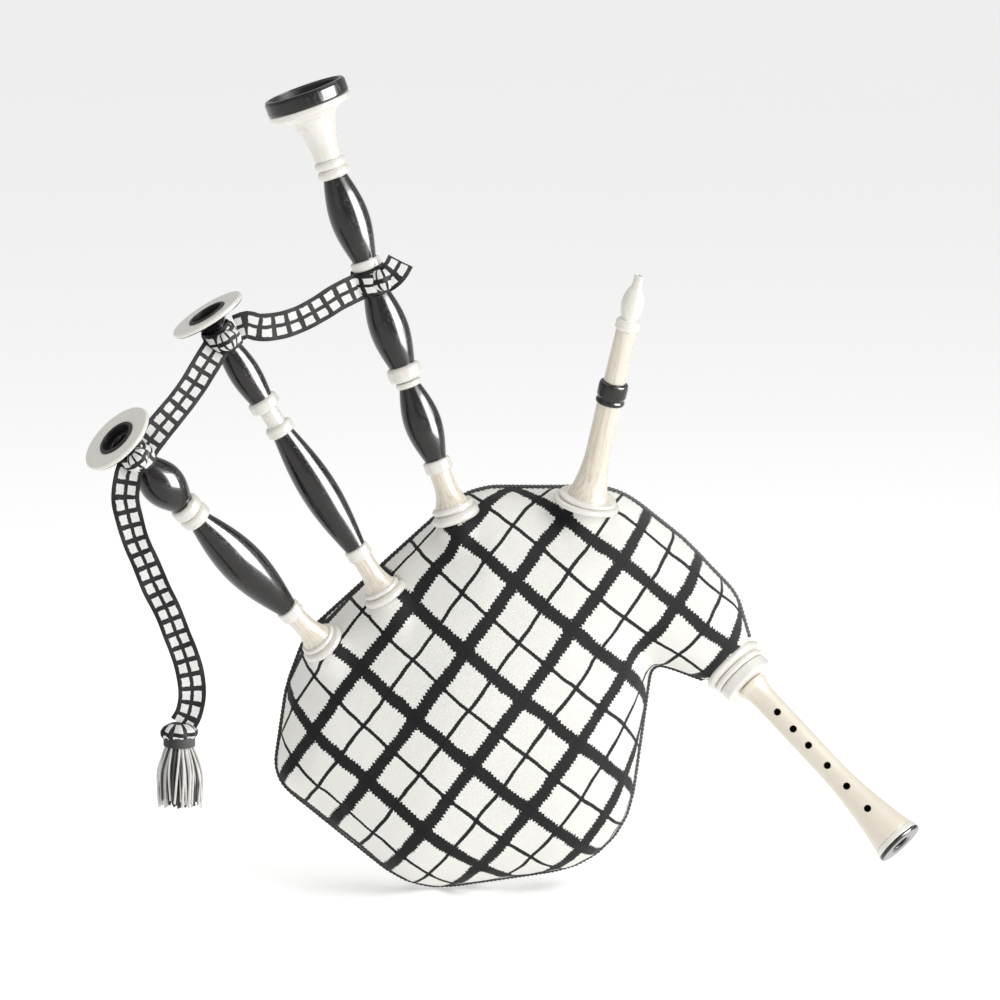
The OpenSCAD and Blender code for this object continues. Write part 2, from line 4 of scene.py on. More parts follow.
import bmesh
import bpy
import numpy as np
from bpy.props import FloatProperty, FloatVectorProperty, IntProperty, PointerProperty
from mathutils import Matrix, Vector
from mathutils.bvhtree import BVHTree


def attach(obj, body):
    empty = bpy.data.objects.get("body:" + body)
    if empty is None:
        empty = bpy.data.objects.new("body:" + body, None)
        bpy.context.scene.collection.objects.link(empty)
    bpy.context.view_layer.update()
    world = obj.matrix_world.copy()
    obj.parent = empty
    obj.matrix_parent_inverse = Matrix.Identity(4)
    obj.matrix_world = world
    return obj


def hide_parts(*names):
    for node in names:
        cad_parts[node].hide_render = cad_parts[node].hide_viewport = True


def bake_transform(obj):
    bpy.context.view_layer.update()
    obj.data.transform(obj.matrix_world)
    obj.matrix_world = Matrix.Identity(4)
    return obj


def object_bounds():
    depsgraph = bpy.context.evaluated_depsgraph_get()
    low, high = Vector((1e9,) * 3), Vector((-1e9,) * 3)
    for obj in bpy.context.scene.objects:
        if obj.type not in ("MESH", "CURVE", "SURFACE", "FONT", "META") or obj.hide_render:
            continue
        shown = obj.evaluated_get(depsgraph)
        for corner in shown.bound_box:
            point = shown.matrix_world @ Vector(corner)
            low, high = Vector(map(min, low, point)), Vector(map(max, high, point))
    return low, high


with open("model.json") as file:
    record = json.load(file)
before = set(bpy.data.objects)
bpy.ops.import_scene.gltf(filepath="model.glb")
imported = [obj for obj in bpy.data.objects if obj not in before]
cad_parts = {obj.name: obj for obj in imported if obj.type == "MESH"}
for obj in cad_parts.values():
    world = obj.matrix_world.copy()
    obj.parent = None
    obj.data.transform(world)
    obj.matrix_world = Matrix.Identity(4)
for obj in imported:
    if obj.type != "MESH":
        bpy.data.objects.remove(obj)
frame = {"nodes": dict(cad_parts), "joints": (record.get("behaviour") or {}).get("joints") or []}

bl_info = {
    "name": "Bagpipes",
    "version": (1, 0, 0),
    "blender": (4, 5, 0),
    "location": "View3D > Sidebar > Bagpipes",
    "description": "Makes the bag, drones, ribbon, blowpipe and chanter of a set of pipes on its frame",
    "category": "Object",
}

CAD_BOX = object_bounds()
MM = 0.001


# ---- Sizes and colours ----

def length(name, description, default):
    return FloatProperty(name=name, description=description, default=default, unit="LENGTH",
                         subtype="DISTANCE")


def colour(name, description, default):
    return FloatVectorProperty(name=name, description=description, default=default, subtype="COLOR",
                               size=3, min=0.0, max=1.0)


class PipeColours(bpy.types.PropertyGroup):
    """Colours of the pipes and what is inside them"""
    ebony: colour("Ebony", "Black wood of the drone joints", (0.006, 0.0055, 0.0055))
    ebony_grain: colour("Ebony grain", "Paler streaks in the black wood", (0.018, 0.013, 0.010))
    ivory: colour("Ivory", "Mounts, bells, ferrules and collars", (0.80, 0.78, 0.725))
    ivory_streak: colour("Ivory streak", "Faint growth lines in the mounts", (0.70, 0.655, 0.56))
    pale_wood: colour("Pale wood", "Stocks, blowpipe and chanter", (0.80, 0.745, 0.64))
    pale_grain: colour("Pale wood grain", "Darker lines in the pale wood", (0.62, 0.53, 0.40))
    # The lining colour is partly a real dark bush and lining, and partly painted shade that darkens the
    # chanter's bore and the bells' mouths.
    lining: colour("Lining", "Dark lining of the wide mouth and the bores", (0.006, 0.006, 0.006))
    hemp: colour("Hemp", "Waxed winding thread", (0.62, 0.46, 0.20))
    cane: colour("Cane", "Reed bodies, tongues and blades", (0.72, 0.56, 0.28))
    brass: colour("Brass", "Staple of the chanter reed", (0.80, 0.58, 0.26))
    hide: colour("Hide", "Inner bag", (0.56, 0.38, 0.22))
    leather: colour("Leather", "Valve flap", (0.20, 0.10, 0.055))


class TartanSett(bpy.types.PropertyGroup):
    """The cover's cloth and its sett"""
    ground: colour("Ground", "Off-white wool between the bands", (0.90, 0.89, 0.85))
    band: colour("Band", "Black wool of the bands and lines", (0.008, 0.008, 0.009))
    across: FloatVectorProperty(name="Falling step",
                                description="Step along a falling band to the next crossing",
                                default=(0.0644, -0.0549), size=2, unit="LENGTH")
    down: FloatVectorProperty(name="Rising step", description="Step down a rising band to the next crossing",
                              default=(-0.0564, -0.0782), size=2, unit="LENGTH")
    crossing: FloatVectorProperty(name="Crossing", description="Place of one crossing of two bands",
                                  default=(0.0656, 0.0100), size=2, unit="LENGTH")
    band_width: length("Band width", "Width of a thick band", 0.0148)
    line_width: length("Line width", "Width of a thin line", 0.0044)
    step: length("Twill step", "Length of one step on a band's edge", 0.0042)
    thread: length("Thread", "Width of one twill rib", 0.0020)


class CheckedRibbon(bpy.types.PropertyGroup):
    """The ribbon tied around the drones"""
    width: length("Width", "Width of the ribbon", 0.031)
    thickness: length("Thickness", "Thickness of the folded ribbon", 0.0026)
    edge: length("Edge", "Width of the black border", 0.0048)
    middle: length("Middle", "Width of the black line along the middle", 0.0042)
    pitch: length("Pitch", "Distance between cross lines", 0.0165)
    cross: length("Cross line", "Width of a cross line", 0.0056)
    white: colour("White", "White of the checks", (0.86, 0.855, 0.83))
    black: colour("Black", "Black of the checks", (0.009, 0.009, 0.010))


class BagMaking(bpy.types.PropertyGroup):
    """How the cover is filled and sewn"""
    voxel: length("Mesh size", "Size of the cloth's mesh before it is filled", 0.005)
    pressure: FloatProperty(name="Pressure", description="Air pressure that fills the bag", default=4.0)
    most: length("Most movement", "Furthest that the cloth may move as it fills", 0.006)
    pucker: length("Pucker", "Depth of the gathers around each collar", 0.0016)
    cord: length("Cord", "Radius of one ply of the cord along the seam", 0.0021)
    twist: length("Twist", "Length of one turn of the seam's cord", 0.0095)
    stitch: length("Stitch", "Length of a stitch", 0.0034)
    stitch_pitch: length("Stitch pitch", "Distance between stitches", 0.0062)


class TurningWork(bpy.types.PropertyGroup):
    """How the turned pieces are made"""
    segments: IntProperty(name="Segments", description="Flats around a turned piece", default=96, min=24)
    rings: IntProperty(name="Rings", description="Rings along a swelling", default=40, min=8)
    corner: length("Corner", "Length over which a corner is eased", 0.0007)
    thread: length("Thread", "Thickness of the winding thread", 0.0007)


class TasselMaking(bpy.types.PropertyGroup):
    """The gathered end of the ribbon"""
    strands: IntProperty(name="Strands", description="Strands in the skirt", default=150, min=20)
    strand: length("Strand", "Radius of a strand", 0.0013)


class StageSetting(bpy.types.PropertyGroup):
    """Camera, lights and floor"""
    distance: length("Distance", "Distance from the camera to the pipes", 8.0)
    elevation: FloatProperty(name="Elevation", description="How far the camera looks down",
                             default=math.radians(10), subtype="ANGLE")
    lens: FloatProperty(name="Lens", description="Focal length in millimetres", default=250.4)
    aim: FloatVectorProperty(name="Aim", description="Point in the middle of the view", size=3,
                             default=(0.0403, 0.0379, 0.2152), subtype="TRANSLATION")
    floor: colour("Floor", "Pale floor", (0.90, 0.90, 0.895))


class BagpipesSettings(bpy.types.PropertyGroup):
    """All sizes and colours of the pipes"""
    colours: PointerProperty(type=PipeColours)
    tartan: PointerProperty(type=TartanSett)
    ribbon: PointerProperty(type=CheckedRibbon)
    bag: PointerProperty(type=BagMaking)
    turning: PointerProperty(type=TurningWork)
    tassel: PointerProperty(type=TasselMaking)
    stage: PointerProperty(type=StageSetting)


def settings():
    return bpy.context.scene.bagpipes


# ---- The pipes' axes ----

class Pipe:
    """A pipe's axis: heights run along it from the bag's surface, in millimetres."""

    def __init__(self, joint_name=None, turn=0.0):
        self.matrix = Matrix.Identity(4)
        if joint_name is None:
            return
        joint = next(j for j in frame["joints"] if j["name"] == joint_name)
        axis = Vector(joint["axis"]).normalized()
        self.at = Vector(joint["pos_m"])
        self.matrix = (Matrix.Translation(self.at) @ Matrix.Rotation(math.atan2(axis.y, axis.x), 4, "Z")
                       @ Matrix.Rotation(math.acos(axis.z), 4, "Y") @ Matrix.Rotation(turn, 4, "Z"))
        self.inverse = self.matrix.inverted()

    def point(self, height, x=0.0, y=0.0):
        return self.matrix @ (Vector((x, y, height)) * MM)


BASS = Pipe("bass_stock_turn")
MIDDLE = Pipe("middle_stock_turn")
OUTER = Pipe("outer_stock_turn")
BLOW = Pipe("blowpipe_turn")
CHANTER = Pipe("chanter_turn", math.radians(-117))
STILL = Pipe()


# ---- Materials ----

class Nodes:
    """Short calls for the nodes of a tree."""

    def add(self, kind, inputs=None, **options):
        node = self.tree.nodes.new(kind)
        for key, value in options.items():
            setattr(node, key, value)
        for key, value in (inputs or {}).items():
            self.put(node, key, value)
        return node

    def put(self, node, key, value):
        """Links a socket to an input, or sets the input to a number, colour or vector."""
        if isinstance(value, bpy.types.NodeSocket):
            self.tree.links.new(value, node.inputs[key])
        else:
            node.inputs[key].default_value = value

    def math(self, operation, a, b=0.0, c=0.0):
        return self.add("ShaderNodeMath", {0: a, 1: b, 2: c}, operation=operation).outputs[0]


class Finish(Nodes):
    """A procedural material, with short calls for the patterns that it is made from."""

    def __init__(self, name, **values):
        self.material = bpy.data.materials.new(name)
        self.material.use_nodes = True
        self.tree = self.material.node_tree
        self.tree.nodes.clear()
        self.shader = self.add("ShaderNodeBsdfPrincipled")
        self.add("ShaderNodeOutputMaterial", {"Surface": self.shader.outputs[0]})
        for key, value in values.items():
            self.shader.inputs[key.replace("_", " ").title().replace("Ior", "IOR")].default_value = value

    def smooth(self, value, low, high):
        return self.add("ShaderNodeMapRange", {0: value, 1: low, 2: high, 3: 0.0, 4: 1.0},
                        interpolation_type="SMOOTHSTEP").outputs[0]

    def mix(self, amount, a, b):
        node = self.add("ShaderNodeMix", data_type="RGBA")
        self.put(node, 0, amount)
        for key, value in ((6, a), (7, b)):
            self.put(node, key, value if isinstance(value, bpy.types.NodeSocket) else (*value, 1.0))
        return node.outputs[2]

    def noise(self, vector, scale, detail=3.0, roughness=0.55):
        return self.add("ShaderNodeTexNoise", {"Vector": vector, "Scale": scale, "Detail": detail,
                                               "Roughness": roughness}).outputs[0]

    def stretched(self, vector, scale):
        return self.add("ShaderNodeMapping", {"Vector": vector, "Scale": scale}).outputs[0]

    def attribute(self, name):
        return self.add("ShaderNodeAttribute", attribute_name=name).outputs["Vector"]

    def place(self):
        return self.add("ShaderNodeTexCoord").outputs["Object"]

    def colour(self, socket):
        self.tree.links.new(socket, self.shader.inputs["Base Color"])

    def rough(self, socket):
        self.tree.links.new(socket, self.shader.inputs["Roughness"])

    def bump(self, height, distance, strength=1.0):
        node = self.add("ShaderNodeBump", {"Height": height, "Distance": distance, "Strength": strength})
        self.tree.links.new(node.outputs[0], self.shader.inputs["Normal"])


def turned_wood(name, base, grain, roughness, gloss, ior, bump):
    """Wood with its grain along the pipe, and the fine lines that the turning tool leaves."""
    f = Finish(name, coat_weight=gloss, coat_roughness=0.07, coat_ior=ior, ior=ior)
    place = f.attribute("turning")
    streaks = f.noise(f.stretched(place, (420, 420, 9)), 1.0, 5.0, 0.6)
    pores = f.smooth(f.noise(f.stretched(place, (1700, 1700, 60)), 1.0, 2.0), 0.60, 0.72)
    wear = f.noise(place, 26, 3.0)
    shade = f.math("MULTIPLY_ADD", pores, 0.45, f.smooth(streaks, 0.40, 0.72))
    f.colour(f.mix(f.math("MINIMUM", shade, 1.0), base, grain))
    f.rough(f.math("MULTIPLY_ADD", wear, 0.16, f.math("MULTIPLY_ADD", streaks, 0.10, roughness - 0.12)))
    lathe_lines = f.noise(f.stretched(place, (6, 6, 2600)), 1.0, 1.0)
    f.bump(f.math("MULTIPLY_ADD", lathe_lines, 0.35, f.math("MULTIPLY", pores, -1.0)), bump)
    return f.material


def mount_ivory(name, base, streak):
    """Polished mounts with faint growth lines and a soft wear of the surface."""
    f = Finish(name, coat_weight=0.35, coat_roughness=0.12, subsurface_weight=0.06, ior=1.54)
    f.shader.inputs["Subsurface Radius"].default_value = (0.004, 0.003, 0.002)
    place = f.attribute("turning")
    warp = f.noise(place, 60, 3.0)
    lines = f.noise(f.stretched(place, (520, 520, 26)), 1.0, 3.0, 0.5)
    cloud = f.noise(place, 38, 4.0, 0.6)
    amount = f.math("MULTIPLY", f.smooth(lines, 0.45, 0.75), f.math("MULTIPLY_ADD", warp, 0.5, 0.2))
    f.colour(f.mix(f.math("MULTIPLY_ADD", f.smooth(cloud, 0.55, 0.8), 0.18, amount), base, streak))
    f.rough(f.math("MULTIPLY_ADD", cloud, 0.18, 0.16))
    lathe_lines = f.noise(f.stretched(place, (5, 5, 2300)), 1.0, 1.0)
    f.bump(f.math("MULTIPLY_ADD", lathe_lines, 0.5, cloud), 0.00012, 0.6)
    return f.material


def tartan_cloth(t):
    """Wool twill: black bands with stepped edges and thin lines on an off-white ground."""
    f = Finish("tartan_wool", roughness=0.88, sheen_weight=0.10, sheen_roughness=0.5, specular_ior_level=0.15)
    uv = f.add("ShaderNodeUVMap", uv_map="cloth").outputs[0]
    a, b, origin = (Vector(v) for v in (t.across, t.down, t.crossing))
    area = abs(a.x * b.y - a.y * b.x)
    drift = f.noise(uv, 17.0, 2.0)

    def along(first, second):
        """Steps along one direction, from the crossing."""
        dual = Vector((second.y, -second.x)) / (first.x * second.y - first.y * second.x)
        dot = f.add("ShaderNodeVectorMath", {0: uv, 1: (dual.x, dual.y, 0.0)},
                    operation="DOT_PRODUCT").outputs["Value"]
        wander = f.math("MULTIPLY_ADD", drift, 0.10, -0.050 - dual.dot(origin))
        return f.math("ADD", dot, wander)

    s, r = along(a, b), along(b, a)

    def to_line(value, spacing, offset):
        """Distance to the nearest line of a family."""
        whole = f.math("SUBTRACT", f.math("FRACT", f.math("ADD", value, 0.5 + offset)), 0.5)
        return f.math("MULTIPLY", f.math("ABSOLUTE", whole), spacing)

    def teeth(value, pitch_along, seed):
        """Steps of the twill along a band's edge."""
        part = f.math("FRACT", f.math("MULTIPLY", value, pitch_along))
        saw = f.math("ABSOLUTE", f.math("SUBTRACT", part, 0.5))
        ragged = f.noise(f.stretched(uv, (190 + seed, 190 - seed, 1)), 1.0, 2.0)
        return f.math("MULTIPLY_ADD", saw, 0.0046, f.math("MULTIPLY_ADD", ragged, 0.0044, -0.0034))

    families = []
    for value, cross, spacing, pitch, seed in ((s, r, area / b.length, b.length / t.step, 7),
                                               (r, s, area / a.length, a.length / t.step, 19)):
        edge = teeth(cross, pitch, seed)
        thick = f.math("SUBTRACT", to_line(value, spacing, 0.0), f.math("ADD", edge, t.band_width / 2))
        soft = f.math("MULTIPLY", edge, 0.25)
        thin = f.math("SUBTRACT", to_line(value, spacing, 0.5), f.math("ADD", soft, t.line_width / 2))
        nearest = f.math("MINIMUM", thick, thin)
        families.append(f.smooth(f.math("MULTIPLY", nearest, -1.0), -0.0003, 0.0003))
    black = f.math("MAXIMUM", families[0], families[1])
    overlap = f.math("MULTIPLY", families[0], families[1])

    ribs = f.add("ShaderNodeTexWave", {"Vector": f.stretched(uv, (1.0, 0.55, 1.0)), "Scale": 0.628 / t.thread,
                                       "Distortion": 0.8, "Detail": 1.0, "Detail Scale": 6.0},
                 wave_type="BANDS", bands_direction="DIAGONAL").outputs["Fac"]
    fibre = f.noise(uv, 900, 3.0)
    patch = f.noise(uv, 22, 3.0)
    ground = f.mix(f.math("MULTIPLY_ADD", ribs, 0.20, f.math("MULTIPLY", patch, 0.22)), t.ground,
                   tuple(c * 0.72 for c in t.ground))
    worn = f.mix(f.math("MULTIPLY", f.math("SUBTRACT", 1.0, overlap), f.math("MULTIPLY", ribs, 0.28)), t.band,
                 (0.034, 0.033, 0.032))
    f.colour(f.mix(black, ground, worn))
    fine = f.math("MULTIPLY_ADD", fibre, 0.4, f.math("MULTIPLY", black, 0.25))
    f.bump(f.math("MULTIPLY_ADD", ribs, 0.7, fine), 0.0005, 0.7)
    return f.material


def ribbon_cloth(r):
    """Checked ribbon: black borders, a black line along the middle and cross lines."""
    f = Finish("checked_ribbon_silk", roughness=0.62, sheen_weight=0.08, sheen_roughness=0.4,
               specular_ior_level=0.2)
    uv = f.add("ShaderNodeUVMap", uv_map="cloth").outputs[0]
    parts = f.add("ShaderNodeSeparateXYZ", {0: uv}).outputs
    shaky = f.math("MULTIPLY_ADD", f.noise(uv, 210, 2.0), 0.0022, -0.0011)
    run, side = f.math("ADD", parts[0], shaky), f.math("ADD", f.math("ABSOLUTE", parts[1]), shaky)

    def inside(distance, half):
        return f.smooth(f.math("SUBTRACT", half, distance), -0.0002, 0.0002)

    border = f.math("SUBTRACT", 1.0, inside(side, r.width / 2 - r.edge))
    middle = inside(side, r.middle / 2)
    part = f.math("ABSOLUTE", f.math("SUBTRACT", f.math("FRACT", f.math("DIVIDE", run, r.pitch)), 0.5))
    cross = inside(f.math("MULTIPLY", part, r.pitch), r.cross / 2)
    black = f.math("MAXIMUM", f.math("MAXIMUM", border, middle), cross)
    weave = f.add("ShaderNodeTexWave", {"Vector": uv, "Scale": 260.0, "Distortion": 0.4},
                  bands_direction="X").outputs["Fac"]
    weft = f.add("ShaderNodeTexWave", {"Vector": uv, "Scale": 210.0, "Distortion": 0.4},
                 bands_direction="Y").outputs["Fac"]
    threads = f.math("MULTIPLY", weave, weft)
    white = f.mix(f.math("MULTIPLY", threads, 0.30), r.white, tuple(c * 0.74 for c in r.white))
    dark = f.mix(f.math("MULTIPLY", threads, 0.5), r.black, (0.03, 0.03, 0.031))
    f.colour(f.mix(black, white, dark))
    f.bump(threads, 0.0004, 0.7)
    return f.material


def thread_finish(name, base, dark, sheen=0.2):
    """Spun thread with short fibres."""
    f = Finish(name, roughness=0.8, sheen_weight=sheen, sheen_roughness=0.5)
    place = f.place()
    fibres = f.noise(place, 1500, 3.0)
    shade_of = f.math("MULTIPLY_ADD", f.noise(place, 90), 0.5, f.math("MULTIPLY", fibres, 0.5))
    f.colour(f.mix(shade_of, base, dark))
    f.bump(fibres, 0.0002, 0.7)
    return f.material


def grained(name, base, dark, scale, bump, **values):
    """Hide, leather, cane, or the dark lining that also stands as painted shade in the bores: a fine grain
    with cloudy colour.
    """
    f = Finish(name, **values)
    place = f.place()
    grain = f.add("ShaderNodeTexVoronoi", {"Vector": place, "Scale": scale}).outputs["Distance"]
    cloud = f.noise(place, scale * 0.06, 4.0)
    f.colour(f.mix(f.math("MULTIPLY_ADD", grain, 0.35, f.math("MULTIPLY", cloud, 0.6)), base, dark))
    f.bump(grain, bump, 0.6)
    return f.material


FINISHES = {}


def finish_of(name):
    """The shared material of that name, made when it is first asked for."""
    if name not in FINISHES:
        c, s = settings().colours, settings()

        def wood(title, base, grain, *look):
            return lambda: turned_wood(title, base, grain, *look)

        def grain(title, base, share, *look, **values):
            dark = tuple(v * share for v in base)
            return lambda: grained(title, base, dark, *look, **values)

        def thread(title, base, dark):
            return lambda: thread_finish(title, base, dark)

        makers = {
            "ebony": wood("polished_ebony", c.ebony, c.ebony_grain, 0.20, 0.5, 1.40, 0.00006),
            "pale_wood": wood("pale_boxwood", c.pale_wood, c.pale_grain, 0.34, 0.35, 1.5, 0.00016),
            "ivory": lambda: mount_ivory("mount_ivory", c.ivory, c.ivory_streak),
            "tartan": lambda: tartan_cloth(s.tartan),
            "ribbon": lambda: ribbon_cloth(s.ribbon),
            # Dark lining finish: part real bush and lining, part painted shade for the bores and bell mouths.
            "lining": lambda: grained("dark_lining", c.lining, (0.02, 0.02, 0.02), 500, 0.0001,
                                      roughness=0.5),
            "hemp": thread("waxed_hemp", c.hemp, tuple(v * 0.45 for v in c.hemp)),
            "seam_cord": thread("black_seam_cord", (0.010, 0.010, 0.011), (0.05, 0.05, 0.05)),
            "white_thread": thread("white_thread", (0.84, 0.83, 0.80), (0.60, 0.58, 0.55)),
            "black_thread": thread("black_thread", (0.010, 0.010, 0.011), (0.04, 0.04, 0.04)),
            "cane": grain("dry_cane", c.cane, 0.6, 900, 0.0001, roughness=0.5),
            "hide": grain("elk_hide", c.hide, 0.55, 420, 0.0004, roughness=0.72),
            "leather": grain("valve_leather", c.leather, 0.5, 700, 0.0003, roughness=0.6),
            "brass": grain("drawn_brass", c.brass, 0.7, 1200, 0.00004, roughness=0.28, metallic=1.0),
        }
        FINISHES[name] = makers[name]()
    return FINISHES[name]


# ---- Making meshes ----

def place_in_scene(mesh, name):
    obj = bpy.data.objects.new(name, mesh)
    bpy.context.scene.collection.objects.link(obj)
    return obj


def shade(mesh, degrees=40):
    mesh.shade_smooth()
    mesh.set_sharp_from_angle(angle=math.radians(degrees))


def swelling(z0, z1, end_r, mid_r, steps=32):
    """Radii and heights of a swelling, thickest in the middle."""
    return [(end_r + (mid_r - end_r) * math.sin(math.pi * i / steps), z0 + (z1 - z0) * i / steps)
            for i in range(steps + 1)]


def flaring(z0, z1, r0, r1, steps=18):
    """Radii and heights of a quarter round that opens upwards."""
    angles = [math.pi / 2 * i / steps for i in range(steps + 1)]
    return [(r0 + (r1 - r0) * (1 - math.cos(a)), z0 + (z1 - z0) * math.sin(a)) for a in angles]


def hollowed(z0, z1, r0, r1, steps=20):
    """Radii and heights of a stock's flare, wide below and straight above."""
    return [(r1 + (r0 - r1) * (1 - i / steps) ** 2, z0 + (z1 - z0) * i / steps) for i in range(steps + 1)]


def eased(loop, cut):
    """A closed outline with each sharp corner rounded over a short length."""
    points = [Vector(p) for i, p in enumerate(loop) if (Vector(p) - Vector(loop[i - 1])).length > 1e-4]
    count = len(points)
    out = []
    for i in range(count):
        before, corner, after = points[i - 1], points[i], points[(i + 1) % count]
        first, second = corner - before, after - corner
        if first.angle(second) < math.radians(14):
            out.append(corner)
            continue
        reach = min(cut, first.length * 0.45, second.length * 0.45)
        start, end = corner - first.normalized() * reach, corner + second.normalized() * reach
        for t in (0.0, 0.25, 0.5, 0.75, 1.0):
            out.append(start * (1 - t) ** 2 + corner * (2 * t * (1 - t)) + end * t * t)
    return out


def bead(r_in, r_out, z, h, edge):
    """Outline of a ring with rounded outer edges."""
    low = [(r_out - edge + edge * math.cos(a), z + edge + edge * math.sin(a))
           for a in np.linspace(-math.pi / 2, 0, 8)]
    high = [(r_out - edge + edge * math.cos(a), z + h - edge + edge * math.sin(a))
            for a in np.linspace(0, math.pi / 2, 8)]
    return [(r_in, z)] + low + high + [(r_in, z + h)]


def stepped(r_in, r_out, h):
    """Outline of a collar: a broad round flange with a smaller bead on it."""
    low, waist = h * 0.55, h * 0.62
    flange = [(r_out - low / 2 + low / 2 * math.cos(a), low / 2 + low / 2 * math.sin(a))
              for a in np.linspace(-math.pi / 2, math.pi / 2, 14)]
    top = (h - waist) / 2
    upper = [(r_out - 7 + top * math.cos(a), waist + top + top * math.sin(a))
             for a in np.linspace(-math.pi / 2, math.pi / 2, 10)]
    return [(r_in, 0)] + flange + [(r_out - 8.4, waist - 0.4)] + upper + [(r_in, h)]


def revolved(loop, cut=None):
    """Vertices and faces of an outline, in millimetres, turned about the pipe's axis."""
    work = settings().turning
    loop = eased(loop, (work.corner / MM) if cut is None else cut)
    count, segments = len(loop), work.segments
    angles = [2 * math.pi * j / segments for j in range(segments)]
    verts = [(p[0] * math.cos(a) * MM, p[0] * math.sin(a) * MM, p[1] * MM) for p in loop for a in angles]
    faces = []
    for i in range(count):
        k = (i + 1) % count
        for j in range(segments):
            n = (j + 1) % segments
            faces.append((i * segments + j, i * segments + n, k * segments + n, k * segments + j))
    return verts, faces


def assembled(name, pipe, parts, finishes):
    """One mesh from parts that each have vertices, faces and the number of their finish."""
    verts, faces, which = [], [], []
    for part_verts, part_faces, index in parts:
        base = len(verts)
        verts += [tuple(v) for v in part_verts]
        faces += [tuple(base + i for i in face) for face in part_faces]
        which += [index] * len(part_faces)
    mesh = bpy.data.meshes.new(name)
    mesh.from_pydata(verts, [], faces)
    mesh.polygons.foreach_set("material_index", which)
    grain = mesh.attributes.new("turning", "FLOAT_VECTOR", "POINT")
    grain.data.foreach_set("vector", np.array(verts, np.float32).ravel())
    for finish in finishes:
        mesh.materials.append(finish_of(finish))
    mesh.transform(pipe.matrix)
    shade(mesh)
    return place_in_scene(mesh, name)


def keep(obj, body, slot, *nodes):
    """Rides on its body and stands for its CAD nodes. Its slot is not used."""
    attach(obj, body)
    if nodes:
        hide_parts(*nodes)
    return obj


def turned_piece(name, pipe, loop, finish, body, slot, *nodes, cut=None):
    return keep(assembled(name, pipe, [(*revolved(loop, cut), 0)], [finish]), body, slot, *nodes)


# ---- Geometry node trees ----

class Tree(Nodes):
    """A geometry node tree with named inputs."""

    def __init__(self, name, inputs):
        self.tree = bpy.data.node_groups.new(name, "GeometryNodeTree")
        self.tree.interface.new_socket(name="Geometry", in_out="INPUT", socket_type="NodeSocketGeometry")
        self.tree.interface.new_socket(name="Geometry", in_out="OUTPUT", socket_type="NodeSocketGeometry")
        for key, kind in inputs.items():
            self.tree.interface.new_socket(name=key, in_out="INPUT", socket_type="NodeSocket" + kind)
        self.entry = self.tree.nodes.new("NodeGroupInput").outputs

    def tube(self, line, sides, radius):
        """A round tube along a curve."""
        ring = self.add("GeometryNodeCurvePrimitiveCircle",
                        {"Resolution": sides, "Radius": radius}).outputs[0]
        return self.add("GeometryNodeCurveToMesh",
                        {0: line, "Profile Curve": ring, "Fill Caps": True}).outputs[0]

    def end(self, geometry):
        smooth = self.add("GeometryNodeSetShadeSmooth", {"Geometry": geometry}).outputs[0]
        real = self.add("GeometryNodeRealizeInstances", {0: smooth}).outputs[0]
        dressed = self.add("GeometryNodeSetMaterial", {"Geometry": real, "Material": self.entry["Material"]})
        self.add("NodeGroupOutput", {0: dressed.outputs[0]})
        return self.tree


TREES = {}


def tree_for(name):
    if name not in TREES:
        TREES[name] = {"swelling": swelling_tree, "strands": strands_tree, "stitches": stitches_tree,
                       "winding": winding_tree}[name]()
    return TREES[name]


def swelling_tree():
    """A joint's swelling: its radius follows half a sine wave from end to end."""
    t = Tree("turned swelling", {"End radius": "Float", "Middle radius": "Float", "Length": "Float",
                                 "Segments": "Int", "Rings": "Int", "Material": "Material"})
    e = t.entry
    tube = t.add("GeometryNodeMeshCylinder", {"Vertices": e["Segments"], "Side Segments": e["Rings"],
                                              "Radius": 1.0, "Depth": 1.0}, fill_type="NGON").outputs["Mesh"]
    place = t.add("ShaderNodeSeparateXYZ", {0: t.add("GeometryNodeInputPosition").outputs[0]}).outputs
    share = t.math("ADD", place[2], 0.5)
    wave = t.math("SINE", t.math("MULTIPLY", share, math.pi))
    rise = t.math("SUBTRACT", e["Middle radius"], e["End radius"])
    radius = t.math("MULTIPLY_ADD", wave, rise, e["End radius"])
    moved = t.add("ShaderNodeCombineXYZ", {0: t.math("MULTIPLY", place[0], radius),
                                           1: t.math("MULTIPLY", place[1], radius),
                                           2: t.math("MULTIPLY", share, e["Length"])}).outputs[0]
    return t.end(t.add("GeometryNodeSetPosition", {"Geometry": tube, "Position": moved}).outputs[0])


def strands_tree():
    """A round thread along every line of edges."""
    t = Tree("threads along lines", {"Radius": "Float", "Sides": "Int", "Material": "Material"})
    e = t.entry
    line = t.add("GeometryNodeMeshToCurve", {0: e["Geometry"]}).outputs[0]
    return t.end(t.tube(line, e["Sides"], e["Radius"]))


def stitches_tree():
    """Stitches at an even pitch along every line of edges."""
    t = Tree("stitches along lines", {"Pitch": "Float", "Stitch length": "Float", "Stitch radius": "Float",
                                      "Material": "Material"})
    e = t.entry
    line = t.add("GeometryNodeMeshToCurve", {0: e["Geometry"]}).outputs[0]
    spots = t.add("GeometryNodeCurveToPoints", {0: line, "Length": e["Pitch"]}, mode="LENGTH")
    turn = t.add("FunctionNodeAlignRotationToVector", {"Vector": spots.outputs["Tangent"]},
                 axis="Z").outputs[0]
    grain = t.add("GeometryNodeMeshUVSphere", {"Segments": 8, "Rings": 6, "Radius": 1.0}).outputs[0]
    size = t.add("ShaderNodeCombineXYZ", {0: e["Stitch radius"], 1: e["Stitch radius"],
                                          2: t.math("MULTIPLY", e["Stitch length"], 0.5)}).outputs[0]
    return t.end(t.add("GeometryNodeInstanceOnPoints", {"Points": spots.outputs["Points"], "Instance": grain,
                                                        "Rotation": turn, "Scale": size}).outputs[0])


